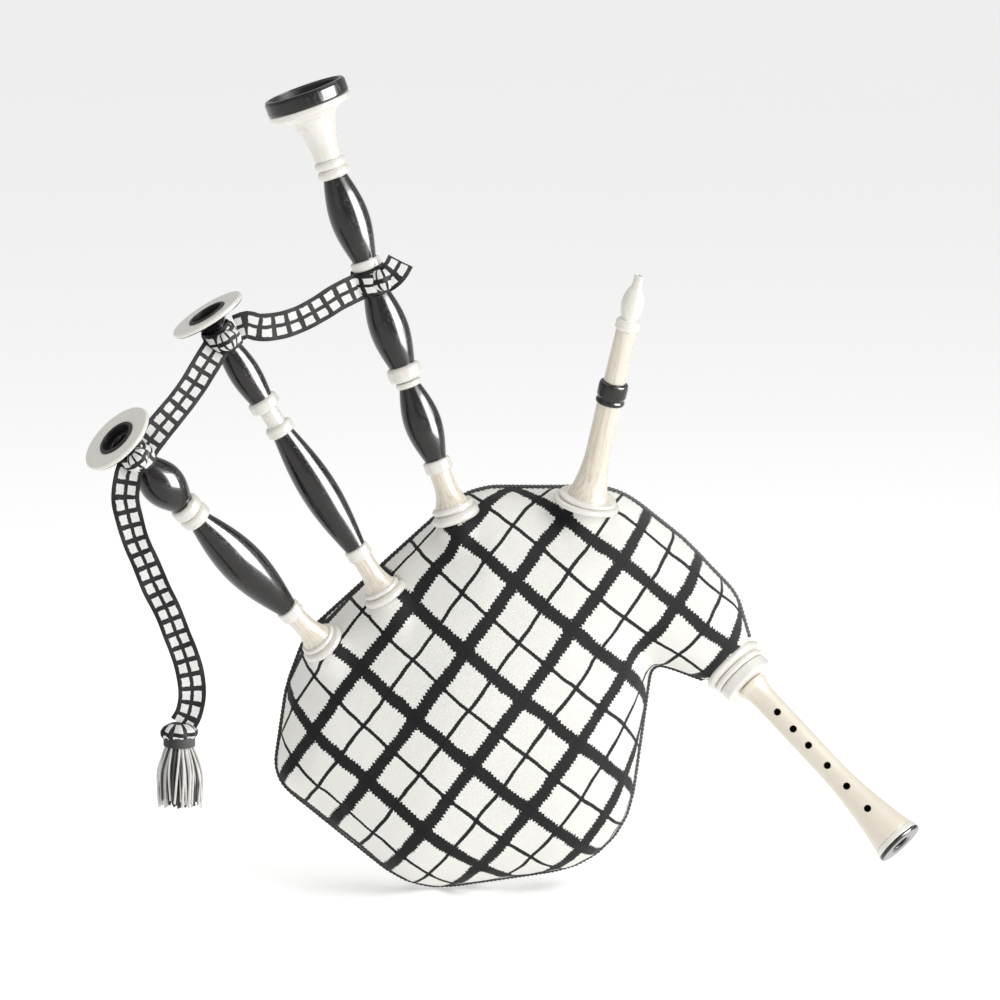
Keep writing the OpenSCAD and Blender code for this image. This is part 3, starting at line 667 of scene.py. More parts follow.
def winding_tree():
    """Thread wound around a tenon, turn beside turn."""
    t = Tree("wound thread", {"Core radius": "Float", "Thread": "Float", "Length": "Float",
                              "Material": "Material"})
    e = t.entry
    turns = t.math("DIVIDE", t.math("SUBTRACT", e["Length"], e["Thread"]), e["Thread"])
    round_r = t.math("MULTIPLY_ADD", e["Thread"], -0.5, e["Core radius"])
    height = t.math("SUBTRACT", e["Length"], e["Thread"])
    spiral = t.add("GeometryNodeCurveSpiral",
                   {"Resolution": 36, "Rotations": turns, "Start Radius": round_r, "End Radius": round_r,
                    "Height": height}).outputs[0]
    return t.end(t.tube(spiral, 6, t.math("MULTIPLY", e["Thread"], 0.53)))


def grown(name, tree, source, **values):
    """The plain mesh that a tree makes from a source mesh."""
    obj = place_in_scene(source or bpy.data.meshes.new(name + "_seed"), name + "_seed")
    modifier = obj.modifiers.new("making", "NODES")
    modifier.node_group = tree_for(tree)
    for item in modifier.node_group.interface.items_tree:
        if item.item_type == "SOCKET" and item.in_out == "INPUT" and item.name in values:
            modifier[item.identifier] = values[item.name]
    view = bpy.context.evaluated_depsgraph_get()
    mesh = bpy.data.meshes.new_from_object(obj.evaluated_get(view), depsgraph=view)
    mesh.name = name
    obj.modifiers.remove(modifier)
    bpy.data.objects.remove(obj)
    if not len(mesh.polygons):
        raise RuntimeError(f"{name}: its node tree made nothing")
    return mesh


def lines_mesh(name, lines, closed=False):
    """A mesh of edges along lists of points."""
    verts, edges = [], []
    for line in lines:
        base = len(verts)
        verts += [tuple(p) for p in line]
        edges += [(base + i, base + i + 1) for i in range(len(line) - 1)]
        if closed:
            edges.append((base + len(line) - 1, base))
    mesh = bpy.data.meshes.new(name)
    mesh.from_pydata(verts, edges, [])
    return mesh


def swollen(z0, z1, end_r, mid_r, finish, bore):
    """A bored swelling made by its node tree, as vertices and faces from z0 to z1 in millimetres."""
    work = settings().turning
    mesh = grown("swelling", "swelling", None, **{
        "End radius": end_r * MM, "Middle radius": mid_r * MM, "Length": (z1 - z0) * MM,
        "Segments": work.segments, "Rings": work.rings, "Material": finish_of(finish)})
    verts = [(v.co.x, v.co.y, v.co.z + z0 * MM) for v in mesh.vertices]
    faces = [tuple(p.vertices) for p in mesh.polygons if len(p.vertices) == 4]
    bpy.data.meshes.remove(mesh)
    ends = []
    for z in (z0 * MM, z1 * MM):
        outer = sorted((i for i, v in enumerate(verts) if abs(v[2] - z) < 1e-6),
                       key=lambda i: math.atan2(verts[i][1], verts[i][0]))
        inner = []
        for i in outer:
            x, y, _ = verts[i]
            share = bore * MM / math.hypot(x, y)
            inner.append(len(verts))
            verts.append((x * share, y * share, z))
        ends.append((outer, inner))
    (low, low_in), (high, high_in) = ends
    for j in range(len(low)):
        n = (j + 1) % len(low)
        faces.append((low_in[j], low_in[n], low[n], low[j]))
        faces.append((high[j], high[n], high_in[n], high_in[j]))
        faces.append((low_in[n], low_in[j], high_in[j], high_in[n]))
    return verts, faces


# ---- Operators ----

class BAGPIPES_OT_camera(bpy.types.Operator):
    """Sets the camera in front of the pipes and a little above them"""
    bl_idname = "bagpipes.camera"
    bl_label = "Camera"

    def execute(self, context):
        s = settings().stage
        data = bpy.data.cameras.new("front_camera")
        data.lens, data.sensor_width, data.clip_end = s.lens, 36.0, 200.0
        camera = bpy.data.objects.new("front_camera", data)
        context.scene.collection.objects.link(camera)
        back = Vector((0.0, -math.cos(s.elevation), math.sin(s.elevation)))
        camera.location = Vector(s.aim) + back * s.distance
        camera.rotation_euler = (math.pi / 2 - s.elevation, 0.0, 0.0)
        context.scene.camera = camera
        return {"FINISHED"}


SPAN_BASS = [(-108, -50, 480), (-124, -60, 475), (-144, -68, 466), (-164, -74, 454), (-184, -80, 444),
             (-204, -87, 438), (-222, -93, 436), (-234, -97, 437), (-244, -99, 440), (-256, -99, 436)]
SPAN_OUTER = [(-277, -104, 418), (-283, -115, 409), (-293, -128, 394), (-304, -139, 377), (-316, -148, 361),
              (-328, -156, 347), (-341, -163, 332), (-352, -169, 318), (-358, -171, 309)]
TAIL = [(-371, -181, 294), (-375, -188, 283), (-378, -192, 257), (-373, -192, 232), (-366, -192, 208),
        (-355, -192, 182), (-344, -192, 155), (-332, -192, 130), (-322, -192, 104), (-313, -192, 80),
        (-307, -192, 57), (-305, -192, 34), (-309, -192, 13), (-316, -192, 0)]
TASSEL_AT = Vector((-320, -192, -3)) * MM


def smooth_route(points, step=4.0):
    """Points every few millimetres on a smooth curve through a route, in metres."""
    pts = [Vector(p) for p in points]
    pts = [pts[0] * 2 - pts[1]] + pts + [pts[-1] * 2 - pts[-2]]
    out = []
    for a, b, c, d in zip(pts, pts[1:], pts[2:], pts[3:]):
        n = max(2, round((c - b).length / step))
        for i in range(n):
            t = i / n
            out.append(0.5 * (2 * b + (c - a) * t + (2 * a - 5 * b + 4 * c - d) * t * t
                              + (3 * b - a - 3 * c + d) * t ** 3))
    out.append(pts[-2])
    return [p * MM for p in out]


def route_length(points):
    return sum((b - a).length for a, b in zip(points, points[1:]))


def ribbon_band(name, points, first, last, start_run, flutter=0.0):
    """A ribbon along points[first:last + 1], broad across the view, with its cloth's own coordinates."""
    r = settings().ribbon
    columns = 12
    verts, uvs, faces = [], [], []
    run = start_run + route_length(points[:first + 1])
    rows = []
    for i in range(first, last + 1):
        before, after = points[max(i - 1, 0)], points[min(i + 1, len(points) - 1)]
        along = (after - before).normalized()
        across = along.cross(Vector((0, 1, 0))).normalized()
        through = along.cross(across)
        if i > first:
            run += (points[i] - points[i - 1]).length
        row = []
        for side in (1, -1):
            for k in range(columns + 1):
                x = (k / columns - 0.5) * side
                edge = 1.0 - abs(2 * x) ** 6 * 0.7
                cup = (0.0016 * (4 * x * x) + flutter * math.sin(run * 95 + x * 5.0) * abs(x)
                       + 0.0005 * math.sin(run * 240 + side))
                lift = cup + side * r.thickness / 2 * edge
                wide = r.width * (1 + 0.02 * math.sin(run * 60))
                verts.append(points[i] + across * wide * x + through * lift)
                row.append(len(verts) - 1)
                uvs.append((run, r.width * x))
        rows.append(row)
    ring = len(rows[0])
    for a, b in zip(rows, rows[1:]):
        for k in range(ring):
            n = (k + 1) % ring
            faces.append((a[k], a[n], b[n], b[k]))
    faces.append(tuple(reversed(rows[0])))
    faces.append(tuple(rows[-1]))
    mesh = cloth_mesh(name, verts, faces, uvs)
    outward(mesh)
    shade(mesh, 50)
    return place_in_scene(mesh, name)


def cloth_mesh(name, verts, faces, uvs):
    """A mesh of ribbon cloth, with the coordinates of its weave at each corner."""
    mesh = bpy.data.meshes.new(name)
    mesh.from_pydata([tuple(v) for v in verts], [], faces)
    layer = mesh.uv_layers.new(name="cloth")
    for loop in mesh.loops:
        layer.data[loop.index].uv = uvs[loop.vertex_index]
    mesh.materials.append(finish_of("ribbon"))
    return mesh


def outward(mesh):
    """Turns every face of a closed mesh outward."""
    bm = bmesh.new()
    bm.from_mesh(mesh)
    bmesh.ops.recalc_face_normals(bm, faces=bm.faces)
    bm.to_mesh(mesh)
    bm.free()


class BAGPIPES_OT_ribbon(bpy.types.Operator):
    """Lays the ribbon between the drones"""
    bl_idname = "bagpipes.ribbon"
    bl_label = "Ribbon"

    def execute(self, context):
        route = smooth_route(SPAN_BASS)
        split = min(range(len(route)), key=lambda i: (route[i] - Vector(SPAN_BASS[4]) * MM).length)
        self.half("span_at_bass", route, 0, split, "bass_middle", "ribbon_at_bass", 0)
        self.half("span_to_middle", route, split, len(route) - 1, "middle_upper", "ribbon_to_middle", -1)
        route = smooth_route(SPAN_OUTER)
        split = min(range(len(route)), key=lambda i: (route[i] - Vector(SPAN_OUTER[4]) * MM).length)
        self.half("span_from_middle", route, 0, split, "middle_upper", "ribbon_from_middle", 0)
        self.half("span_to_outer", route, split, len(route) - 1, "outer_upper", "ribbon_to_outer", -1)
        return {"FINISHED"}

    def half(self, name, route, first, last, tied_body, node, tied_end):
        obj = ribbon_band(name, route, first, last, 0.0, 0.0012)
        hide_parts(node)
        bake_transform(obj)


class BAGPIPES_OT_tail(bpy.types.Operator):
    """Hangs the ribbon's tail and the tassel at its end"""
    bl_idname = "bagpipes.tail"
    bl_label = "Tail and tassel"

    def execute(self, context):
        route = smooth_route(TAIL)
        tail = ribbon_band("hanging_tail", route, 0, len(route) - 1, 0.3, 0.0022)
        keep(tail, "outer_upper", "checked_ribbon", "ribbon_tail")
        tassel = self.tassel()
        keep(tassel, "outer_upper", "checked_ribbon", "ribbon_tassel")
        return {"FINISHED"}

    def tassel(self):
        s = settings().tassel
        turn = np.random.default_rng(5)
        black, white = [], []
        for i in range(s.strands):
            angle = 2 * math.pi * i * 0.381966
            depth = math.sqrt((i + 0.5) / s.strands)
            sway, swirl = turn.uniform(-1, 1, 2)
            reach = 0.078 + 0.009 * turn.uniform(-1, 0.4)
            line = []
            for k in range(15):
                t = k / 14
                swell = 0.34 + 0.66 * math.sin(min(t * 1.35, 1.0) * math.pi / 2) - 0.10 * max(0.0, t - 0.6)
                radius = 0.0265 * depth * swell + 0.0012 * sway * math.sin(t * 9 + swirl * 3)
                bend = angle + 0.30 * swirl * t
                line.append(TASSEL_AT + Vector((radius * math.cos(bend), radius * math.sin(bend),
                                                -0.010 - reach * t)))
            lobe = math.sin(angle * 3 + 0.6)
            (black if lobe > 0.72 or turn.uniform() < 0.10 else white).append(line)
        meshes = []
        for name, lines, finish in (("white_strands", white, "white_thread"),
                                    ("black_strands", black, "black_thread")):
            meshes.append(grown(name, "strands", lines_mesh(name + "_lines", lines),
                                Radius=s.strand, Sides=7, Material=finish_of(finish)))
        coils = []
        coil_r, pitch = 0.0168, 0.0021
        for level in range(5):
            coils.append([TASSEL_AT + Vector((coil_r * math.cos(a), coil_r * math.sin(a),
                                              -0.0105 - pitch * level - pitch * a / (2 * math.pi)))
                          for a in np.linspace(0, 2 * math.pi, 40)])
        meshes.append(grown("whipping", "strands", lines_mesh("whipping_lines", coils),
                            Radius=0.0013, Sides=8, Material=finish_of("black_thread")))
        meshes.append(knot_mesh("gathered_head", TASSEL_AT + Vector((0, 0, -0.006)),
                                Matrix.Identity(3), (0.0205, 0.0190, 0.0115), 8))
        return joined("tassel", meshes)


def joined(name, meshes):
    """One object from several meshes, keeping each one's material."""
    objects = [place_in_scene(mesh, name + str(i)) for i, mesh in enumerate(meshes)]
    with bpy.context.temp_override(active_object=objects[0], object=objects[0], selected_objects=objects,
                                   selected_editable_objects=objects):
        bpy.ops.object.join()
    objects[0].name = name
    objects[0].data.name = name
    return objects[0]


def knot_mesh(name, centre, turn, radii, folds):
    """A lump of gathered ribbon, with folds that run over it."""
    rows, columns = 26, 48
    verts, uvs, faces = [], [], []
    for i in range(rows + 1):
        v = math.pi * i / rows
        for j in range(columns):
            u = 2 * math.pi * j / columns
            fold = 1 + 0.10 * math.sin(folds * u + 1.8 * math.cos(v)) * abs(math.sin(v)) ** 1.2
            fold += 0.05 * math.sin(3 * v + 2 * u)
            p = Vector((radii[0] * fold * math.sin(v) * math.cos(u),
                        radii[1] * fold * math.sin(v) * math.sin(u),
                        radii[2] * math.cos(v)))
            verts.append(tuple(centre + turn @ p))
            uvs.append((0.5 + 0.020 * u, (v / math.pi - 0.5) * settings().ribbon.width))
    for i in range(rows):
        for j in range(columns):
            n = (j + 1) % columns
            faces.append((i * columns + j, (i + 1) * columns + j, (i + 1) * columns + n, i * columns + n))
    mesh = cloth_mesh(name, verts, faces, uvs)
    bm = bmesh.new()
    bm.from_mesh(mesh)
    bmesh.ops.remove_doubles(bm, verts=bm.verts, dist=1e-5)
    bmesh.ops.recalc_face_normals(bm, faces=bm.faces)
    bm.to_mesh(mesh)
    bm.free()
    shade(mesh, 60)
    return mesh


def wrap_mesh(name, pipe, height, radius, tilt, heading, start=0.0):
    """One turn of ribbon around a drone, tilted, with a soft roll across it."""
    r = settings().ribbon
    around, columns = 72, 10
    lean = Matrix.Rotation(tilt, 3, Vector((math.cos(heading), math.sin(heading), 0)))
    verts, uvs, faces = [], [], []
    half = r.width * 0.40
    for j in range(around):
        a = 2 * math.pi * j / around
        for side in (1, -1):
            for k in range(columns + 1):
                x = (k / columns - 0.5) * side
                out = radius + 0.0009 * math.cos(x * math.pi) + 0.0006 * math.sin(3 * a + 9 * x)
                out += side * 0.0008 * (1 - abs(2 * x) ** 6 * 0.7)
                p = Vector((out * math.cos(a), out * math.sin(a),
                            2 * half * x * (1 + 0.06 * math.sin(2 * a))))
                q = lean @ Vector((0, 0, 1))
                z = p.z - (p.x * q.x + p.y * q.y) / q.z
                verts.append((p.x, p.y, z + height * MM))
                uvs.append((start + a * radius, r.width * x))
    ring = 2 * (columns + 1)
    for j in range(around):
        n = (j + 1) % around
        for k in range(ring):
            m = (k + 1) % ring
            faces.append((j * ring + k, j * ring + m, n * ring + m, n * ring + k))
    mesh = cloth_mesh(name, verts, faces, uvs)
    layer = mesh.uv_layers["cloth"]
    for poly in mesh.polygons:
        turns = [v // ring for v in poly.vertices]
        if max(turns) == around - 1 and min(turns) == 0:
            for index in poly.loop_indices:
                vertex = mesh.loops[index].vertex_index
                if vertex // ring == 0:
                    layer.data[index].uv = (uvs[vertex][0] + 2 * math.pi * radius, uvs[vertex][1])
    outward(mesh)
    mesh.transform(pipe.matrix)
    shade(mesh, 60)
    return mesh


def end_flap(name, points):
    """A short free end of ribbon that stands out of a knot."""
    route = smooth_route(points, 2.0)
    obj = ribbon_band(name, route, 0, len(route) - 1, 0.8, 0.004)
    mesh = obj.data
    bpy.data.objects.remove(obj)
    return mesh


class BAGPIPES_OT_ties(bpy.types.Operator):
    """Ties the ribbon around each drone"""
    bl_idname = "bagpipes.ties"
    bl_label = "Ties"

    def execute(self, context):
        self.tie("tie_on_bass", BASS, 292.5, 0.0180, "bass_middle", "bass_ribbon_tie",
                 (0.013, -0.017, 0.004), (0.013, 0.010, 0.014),
                 [(-92, -62, 484), (-84, -66, 490), (-77, -67, 498), (-72, -64, 507)])
        self.tie("tie_on_middle", MIDDLE, 358.5, 0.0160, "middle_upper", "middle_ribbon_tie",
                 (0.006, -0.0205, 0.001), (0.012, 0.010, 0.012), None)
        self.tie("tie_on_outer", OUTER, 339.0, 0.0160, "outer_upper", "outer_ribbon_tie",
                 (0.004, -0.0205, 0.002), (0.013, 0.010, 0.012), None)
        return {"FINISHED"}

    def tie(self, name, pipe, height, radius, body, node, knot_at, knot_size, flap):
        meshes = [wrap_mesh(name + "_under", pipe, height, radius, math.radians(9), 1.2),
                  wrap_mesh(name + "_over", pipe, height + 0.5, radius + 0.0022, math.radians(-13), 0.9, 0.4)]
        turn = pipe.matrix.to_3x3().normalized()
        centre = pipe.point(height) + Vector(knot_at)
        meshes.append(knot_mesh(name + "_knot", centre, turn, knot_size, 5))
        if flap:
            meshes.append(end_flap(name + "_end", flap))
        keep(joined(name, meshes), body, "checked_ribbon", node)


BELLY = [(-172, -84, 46, 44), (-138, -12, 69, 66), (-29, -128, 103, 80), (86, -105, 109, 84),
         (109, 12, 101, 92), (144, 152, 86, 84), (40, 146, 92, 86), (-126, 29, 66, 72), (17, 0, 138, 108)]
NECK = [(144, 152, 86, 84), (201, 117, 78, 66), (259, 82, 60, 54), (297, 41, 35, 36)]
# pipe, radius of the rise around the stock, collar's radius
SEATS = [(BASS, 28, 28), (MIDDLE, 28, 26), (OUTER, 28, 26), (BLOW, 29, 38), (CHANTER, 0, 38)]
INSET = 1.5


def ball(centre, radii, rows=18):
    points = []
    for i in range(rows + 1):
        v = math.pi * i / rows
        for j in range(2 * rows):
            u = math.pi * j / rows
            points.append(Vector(centre) + Vector((radii[0] * math.sin(v) * math.cos(u),
                                                   radii[1] * math.sin(v) * math.sin(u),
                                                   radii[2] * math.cos(v))))
    return points


def hull_into(mesh_data, points):
    """Adds the hull around points, in millimetres, to vertices and faces."""
    bm = bmesh.new()
    for p in points:
        bm.verts.new(Vector(p) * MM)
    made = bmesh.ops.convex_hull(bm, input=bm.verts)
    loose = [g for g in made["geom_interior"] + made["geom_unused"] if isinstance(g, bmesh.types.BMVert)]
    bmesh.ops.delete(bm, geom=list(set(loose)), context="VERTS")
    bmesh.ops.recalc_face_normals(bm, faces=bm.faces)
    verts, faces = mesh_data
    base = len(verts)
    bm.verts.ensure_lookup_table()
    bm.verts.index_update()
    verts += [tuple(v.co) for v in bm.verts]
    faces += [tuple(base + v.index for v in f.verts) for f in bm.faces]
    bm.free()


CLOTH_FRAMES = 20        # how long the cover is blown up
COVER_GAP = 0.0024       # how far the cloth stays outside the hide
LOOK_FROM = 0.020        # how far outside the cloth the hide is looked for
PIPE_MOUTH = 0.015       # around a pipe's middle, where the hide is open
HIDE_DRAWN_IN = 0.0009   # how much smaller the hide that is seen is made


def coordinates(mesh):
    out = np.empty(len(mesh.vertices) * 3)
    mesh.vertices.foreach_get("co", out)
    return out.reshape(-1, 3)


def place_points(mesh, co):
    """Gives a mesh's points new places."""
    mesh.vertices.foreach_set("co", co.ravel())
    mesh.update()


def outward_directions(mesh):
    out = np.empty(len(mesh.vertices) * 3)
    mesh.vertices.foreach_get("normal", out)
    return out.reshape(-1, 3)


def edge_ends(mesh):
    out = np.empty(len(mesh.edges) * 2, int)
    mesh.edges.foreach_get("vertices", out)
    return out.reshape(-1, 2)


def relaxed(co, edges, times, amount):
    """Moves each point towards the middle of its neighbours."""
    count = np.bincount(edges.ravel(), minlength=len(co))[:, None]
    for _ in range(times):
        total = np.zeros_like(co)
        for axis in range(3):
            total[:, axis] = (np.bincount(edges[:, 0], co[edges[:, 1], axis], len(co))
                              + np.bincount(edges[:, 1], co[edges[:, 0], axis], len(co)))
        co = co + (total / np.maximum(count, 1) - co) * amount
    return co


class BAGPIPES_OT_bag(bpy.types.Operator):
    """Cuts the tartan cover, fills it and draws it in at the stocks"""
    bl_idname = "bagpipes.bag"
    bl_label = "Bag cover"

    def execute(self, context):
        s = settings().bag
        mesh = self.form(s)
        obj = place_in_scene(mesh, "tartan_cover")
        self.fill(obj, s)
        self.seat(obj.data, s)
        self.clear_the_hide(obj.data, context)
        self.part_panels(obj.data, s)
        self.lay_cloth(obj.data)
        obj.data.materials.append(finish_of("tartan"))
        modifier = obj.modifiers.new("finer", "SUBSURF")
        modifier.levels = modifier.render_levels = 1
        view = context.evaluated_depsgraph_get()
        fine = bpy.data.meshes.new_from_object(obj.evaluated_get(view), depsgraph=view)
        obj.modifiers.remove(modifier)
        obj.data = fine
        fine.shade_smooth()
        keep(obj, "bag", "tartan_cover", "bag_cover")
        return {"FINISHED"}

    def form(self, s):
        """The cover before it is filled: hulls around its lobes, made into one even mesh."""
        data = ([], [])

        def lobe(b):
            return ball((b[0], 0, b[1]), (b[2] - INSET, b[3] - INSET, b[2] - INSET))

        hull_into(data, [p for b in BELLY for p in lobe(b)])
        for first, second in zip(NECK, NECK[1:]):
            hull_into(data, lobe(first) + lobe(second))
        for pipe, rise, collar in SEATS:
            if rise:
                ends = [(pipe.point(-20) / MM, rise - INSET), (pipe.point(-70) / MM, rise + 6 - INSET)]
                hull_into(data, [p for centre, r in ends for p in ball(centre, (r, r, r), 12)])
        rough = bpy.data.meshes.new("rough_cover")
        rough.from_pydata(data[0], [], data[1])
        obj = place_in_scene(rough, "rough_cover")
        modifier = obj.modifiers.new("even", "REMESH")
        modifier.mode = "VOXEL"
        modifier.voxel_size = s.voxel
        view = bpy.context.evaluated_depsgraph_get()
        mesh = bpy.data.meshes.new_from_object(obj.evaluated_get(view), depsgraph=view)
        bpy.data.objects.remove(obj)
        place_points(mesh, relaxed(coordinates(mesh), edge_ends(mesh), 14, 0.5))
        return mesh

    def fill(self, obj, s):
        """Blows the cover up a little as cloth, held under the collars."""
        scene = bpy.context.scene
        start = coordinates(obj.data)
        held = obj.vertex_groups.new(name="held")
        for pipe, rise, collar in SEATS:
            local = self.local(pipe, start)
            under = (np.hypot(local[:, 0], local[:, 1]) < collar * MM) & (local[:, 2] > -0.03)
            held.add([int(i) for i in np.nonzero(under)[0]], 1.0, "REPLACE")
        cloth = obj.modifiers.new("filling", "CLOTH")
        c = cloth.settings
        c.quality = 4
        c.mass = 0.3
        c.tension_stiffness = c.compression_stiffness = 12.0
        c.bending_stiffness = 0.4
        c.use_pressure = True
        c.uniform_pressure_force = s.pressure
        c.effector_weights.gravity = 0.0
        c.vertex_group_mass = "held"
        c.shrink_min = -0.012
        cloth.collision_settings.use_collision = False
        cloth.collision_settings.use_self_collision = False
        cloth.point_cache.frame_start = 1
        cloth.point_cache.frame_end = CLOTH_FRAMES
        for number in range(1, CLOTH_FRAMES + 1):
            scene.frame_set(number)
        view = bpy.context.evaluated_depsgraph_get()
        moved = coordinates(obj.evaluated_get(view).data)
        obj.modifiers.remove(cloth)
        scene.frame_set(1)
        normals = outward_directions(obj.data)
        out = np.clip(((moved - start) * normals).sum(axis=1), 0.0, s.most)
        place_points(obj.data, relaxed(start + normals * out[:, None], edge_ends(obj.data), 2, 0.4))

    def local(self, pipe, co):
        turn = np.array(pipe.inverse.to_3x3())
        return co @ turn.T + np.array(pipe.inverse.translation)

    def seat(self, mesh, s):
        """Draws the cloth in under each collar, with gathers around it."""
        co = coordinates(mesh)
        for pipe, rise, collar in SEATS:
            p = self.local(pipe, co)
            radius = np.hypot(p[:, 0], p[:, 1])
            angle = np.arctan2(p[:, 1], p[:, 0])
            near = (p[:, 2] > -0.045) & (p[:, 2] < 0.06) & (radius < (collar + 40) * MM)
            ring = np.exp(-((radius - (collar + 7) * MM) / 0.010) ** 2)
            gather = s.pucker * np.sin(17 * angle + 0.7) * ring
            gather *= 0.7 + 0.3 * np.sin(5 * angle)
            ceiling = -0.0008 + np.maximum(0.0, radius - (collar - 1) * MM) * 4.0
            top = p[:, 2] + np.where(p[:, 2] > -0.03, gather, 0.0)
            p[:, 2] = np.where(near, np.minimum(top, ceiling), p[:, 2])
            back = np.array(pipe.matrix.to_3x3())
            co = np.where(near[:, None], p @ back.T + np.array(pipe.matrix.translation), co)
        place_points(mesh, co)

    def clear_the_hide(self, mesh, context):
        """Keeps the cloth outside the hide bag that it covers."""
        hide = BVHTree.FromObject(frame["nodes"]["inner_bag"], context.evaluated_depsgraph_get())
        edges = edge_ends(mesh)
        for turn in range(3):
            co = coordinates(mesh)
            under = np.zeros(len(co), bool)
            near = np.zeros(len(co), bool)
            for pipe, rise, collar in SEATS:
                q = self.local(pipe, co)
                radius = np.hypot(q[:, 0], q[:, 1])
                level = np.abs(q[:, 2]) < 0.05
                under |= level & (radius < PIPE_MOUTH)
                near |= level & (radius < (collar + 16) * MM)
            if turn:
                smooth = relaxed(co, edges, 3, 0.5)
                co = np.where(near[:, None], smooth, relaxed(co, edges, 1, 0.3))
            place_points(mesh, co)
            for i, vertex in enumerate(mesh.vertices):
                if under[i]:
                    continue
                normal = vertex.normal
                spot = hide.ray_cast(vertex.co + normal * LOOK_FROM, -normal, 2 * LOOK_FROM)[0]
                if spot is not None and (vertex.co - spot).dot(normal) < COVER_GAP:
                    co[i] = spot + normal * COVER_GAP
            place_points(mesh, co)

    def part_panels(self, mesh, s):
        """Puts a line of edges exactly where the two panels meet."""
        bm = bmesh.new()
        bm.from_mesh(mesh)
        for v in bm.verts:
            if abs(v.co.y) < s.voxel * 0.3:
                v.co.y = 0.0
        bmesh.ops.bisect_plane(bm, geom=bm.verts[:] + bm.edges[:] + bm.faces[:], dist=1e-5,
                               plane_co=(0, 0, 0), plane_no=(0, 1, 0))
        bm.to_mesh(mesh)
        bm.free()

    def lay_cloth(self, mesh):
        """Lays the front and the back panel flat as cloth coordinates in metres, each with little stretch."""
        co = coordinates(mesh)
        sides = np.array([p.center.y < 0 for p in mesh.polygons])
        corners = [tuple(p.vertices) for p in mesh.polygons]
        normals = relaxed(outward_directions(mesh), edge_ends(mesh), 10, 0.5)
        slope = np.linalg.norm(normals[:, [0, 2]], axis=1)
        tip = np.arctan2(slope, np.abs(normals[:, 1]))
        side = normals[:, [0, 2]] / np.maximum(slope, 1e-6)[:, None]
        spread = side * (0.080 * (tip - np.sin(tip)))[:, None]
        flat = {}
        for front in (True, False):
            pairs = set()
            for face, side in zip(corners, sides):
                if side == front:
                    n = len(face)
                    for i in range(n):
                        for k in range(i + 1, n):
                            pairs.add((face[i], face[k]) if face[i] < face[k] else (face[k], face[i]))
            pairs = np.array(sorted(pairs))
            target = np.linalg.norm(co[pairs[:, 0]] - co[pairs[:, 1]], axis=1)
            uv = co[:, [0, 2]] + spread
            used = np.bincount(pairs.ravel(), minlength=len(co))
            for _ in range(360):
                step = uv[pairs[:, 1]] - uv[pairs[:, 0]]
                now = np.maximum(np.linalg.norm(step, axis=1), 1e-7)
                pull = step * ((now - target) / now * 0.5)[:, None]
                for axis in range(2):
                    push = (np.bincount(pairs[:, 0], pull[:, axis], len(co))
                            - np.bincount(pairs[:, 1], pull[:, axis], len(co)))
                    uv[:, axis] += push / np.maximum(used, 1) * 1.6
            middle = (used > 0) & (np.hypot(co[:, 0] - 0.06, co[:, 2] - 0.01) < 0.07)
            uv += (co[:, [0, 2]] - uv)[middle].mean(axis=0)
            flat[front] = uv
        layer = mesh.uv_layers.new(name="cloth")
        for poly, side in zip(mesh.polygons, sides):
            for index in poly.loop_indices:
                u, v = flat[bool(side)][mesh.loops[index].vertex_index]
                layer.data[index].uv = (u, v) if side else (0.30 - u, v)


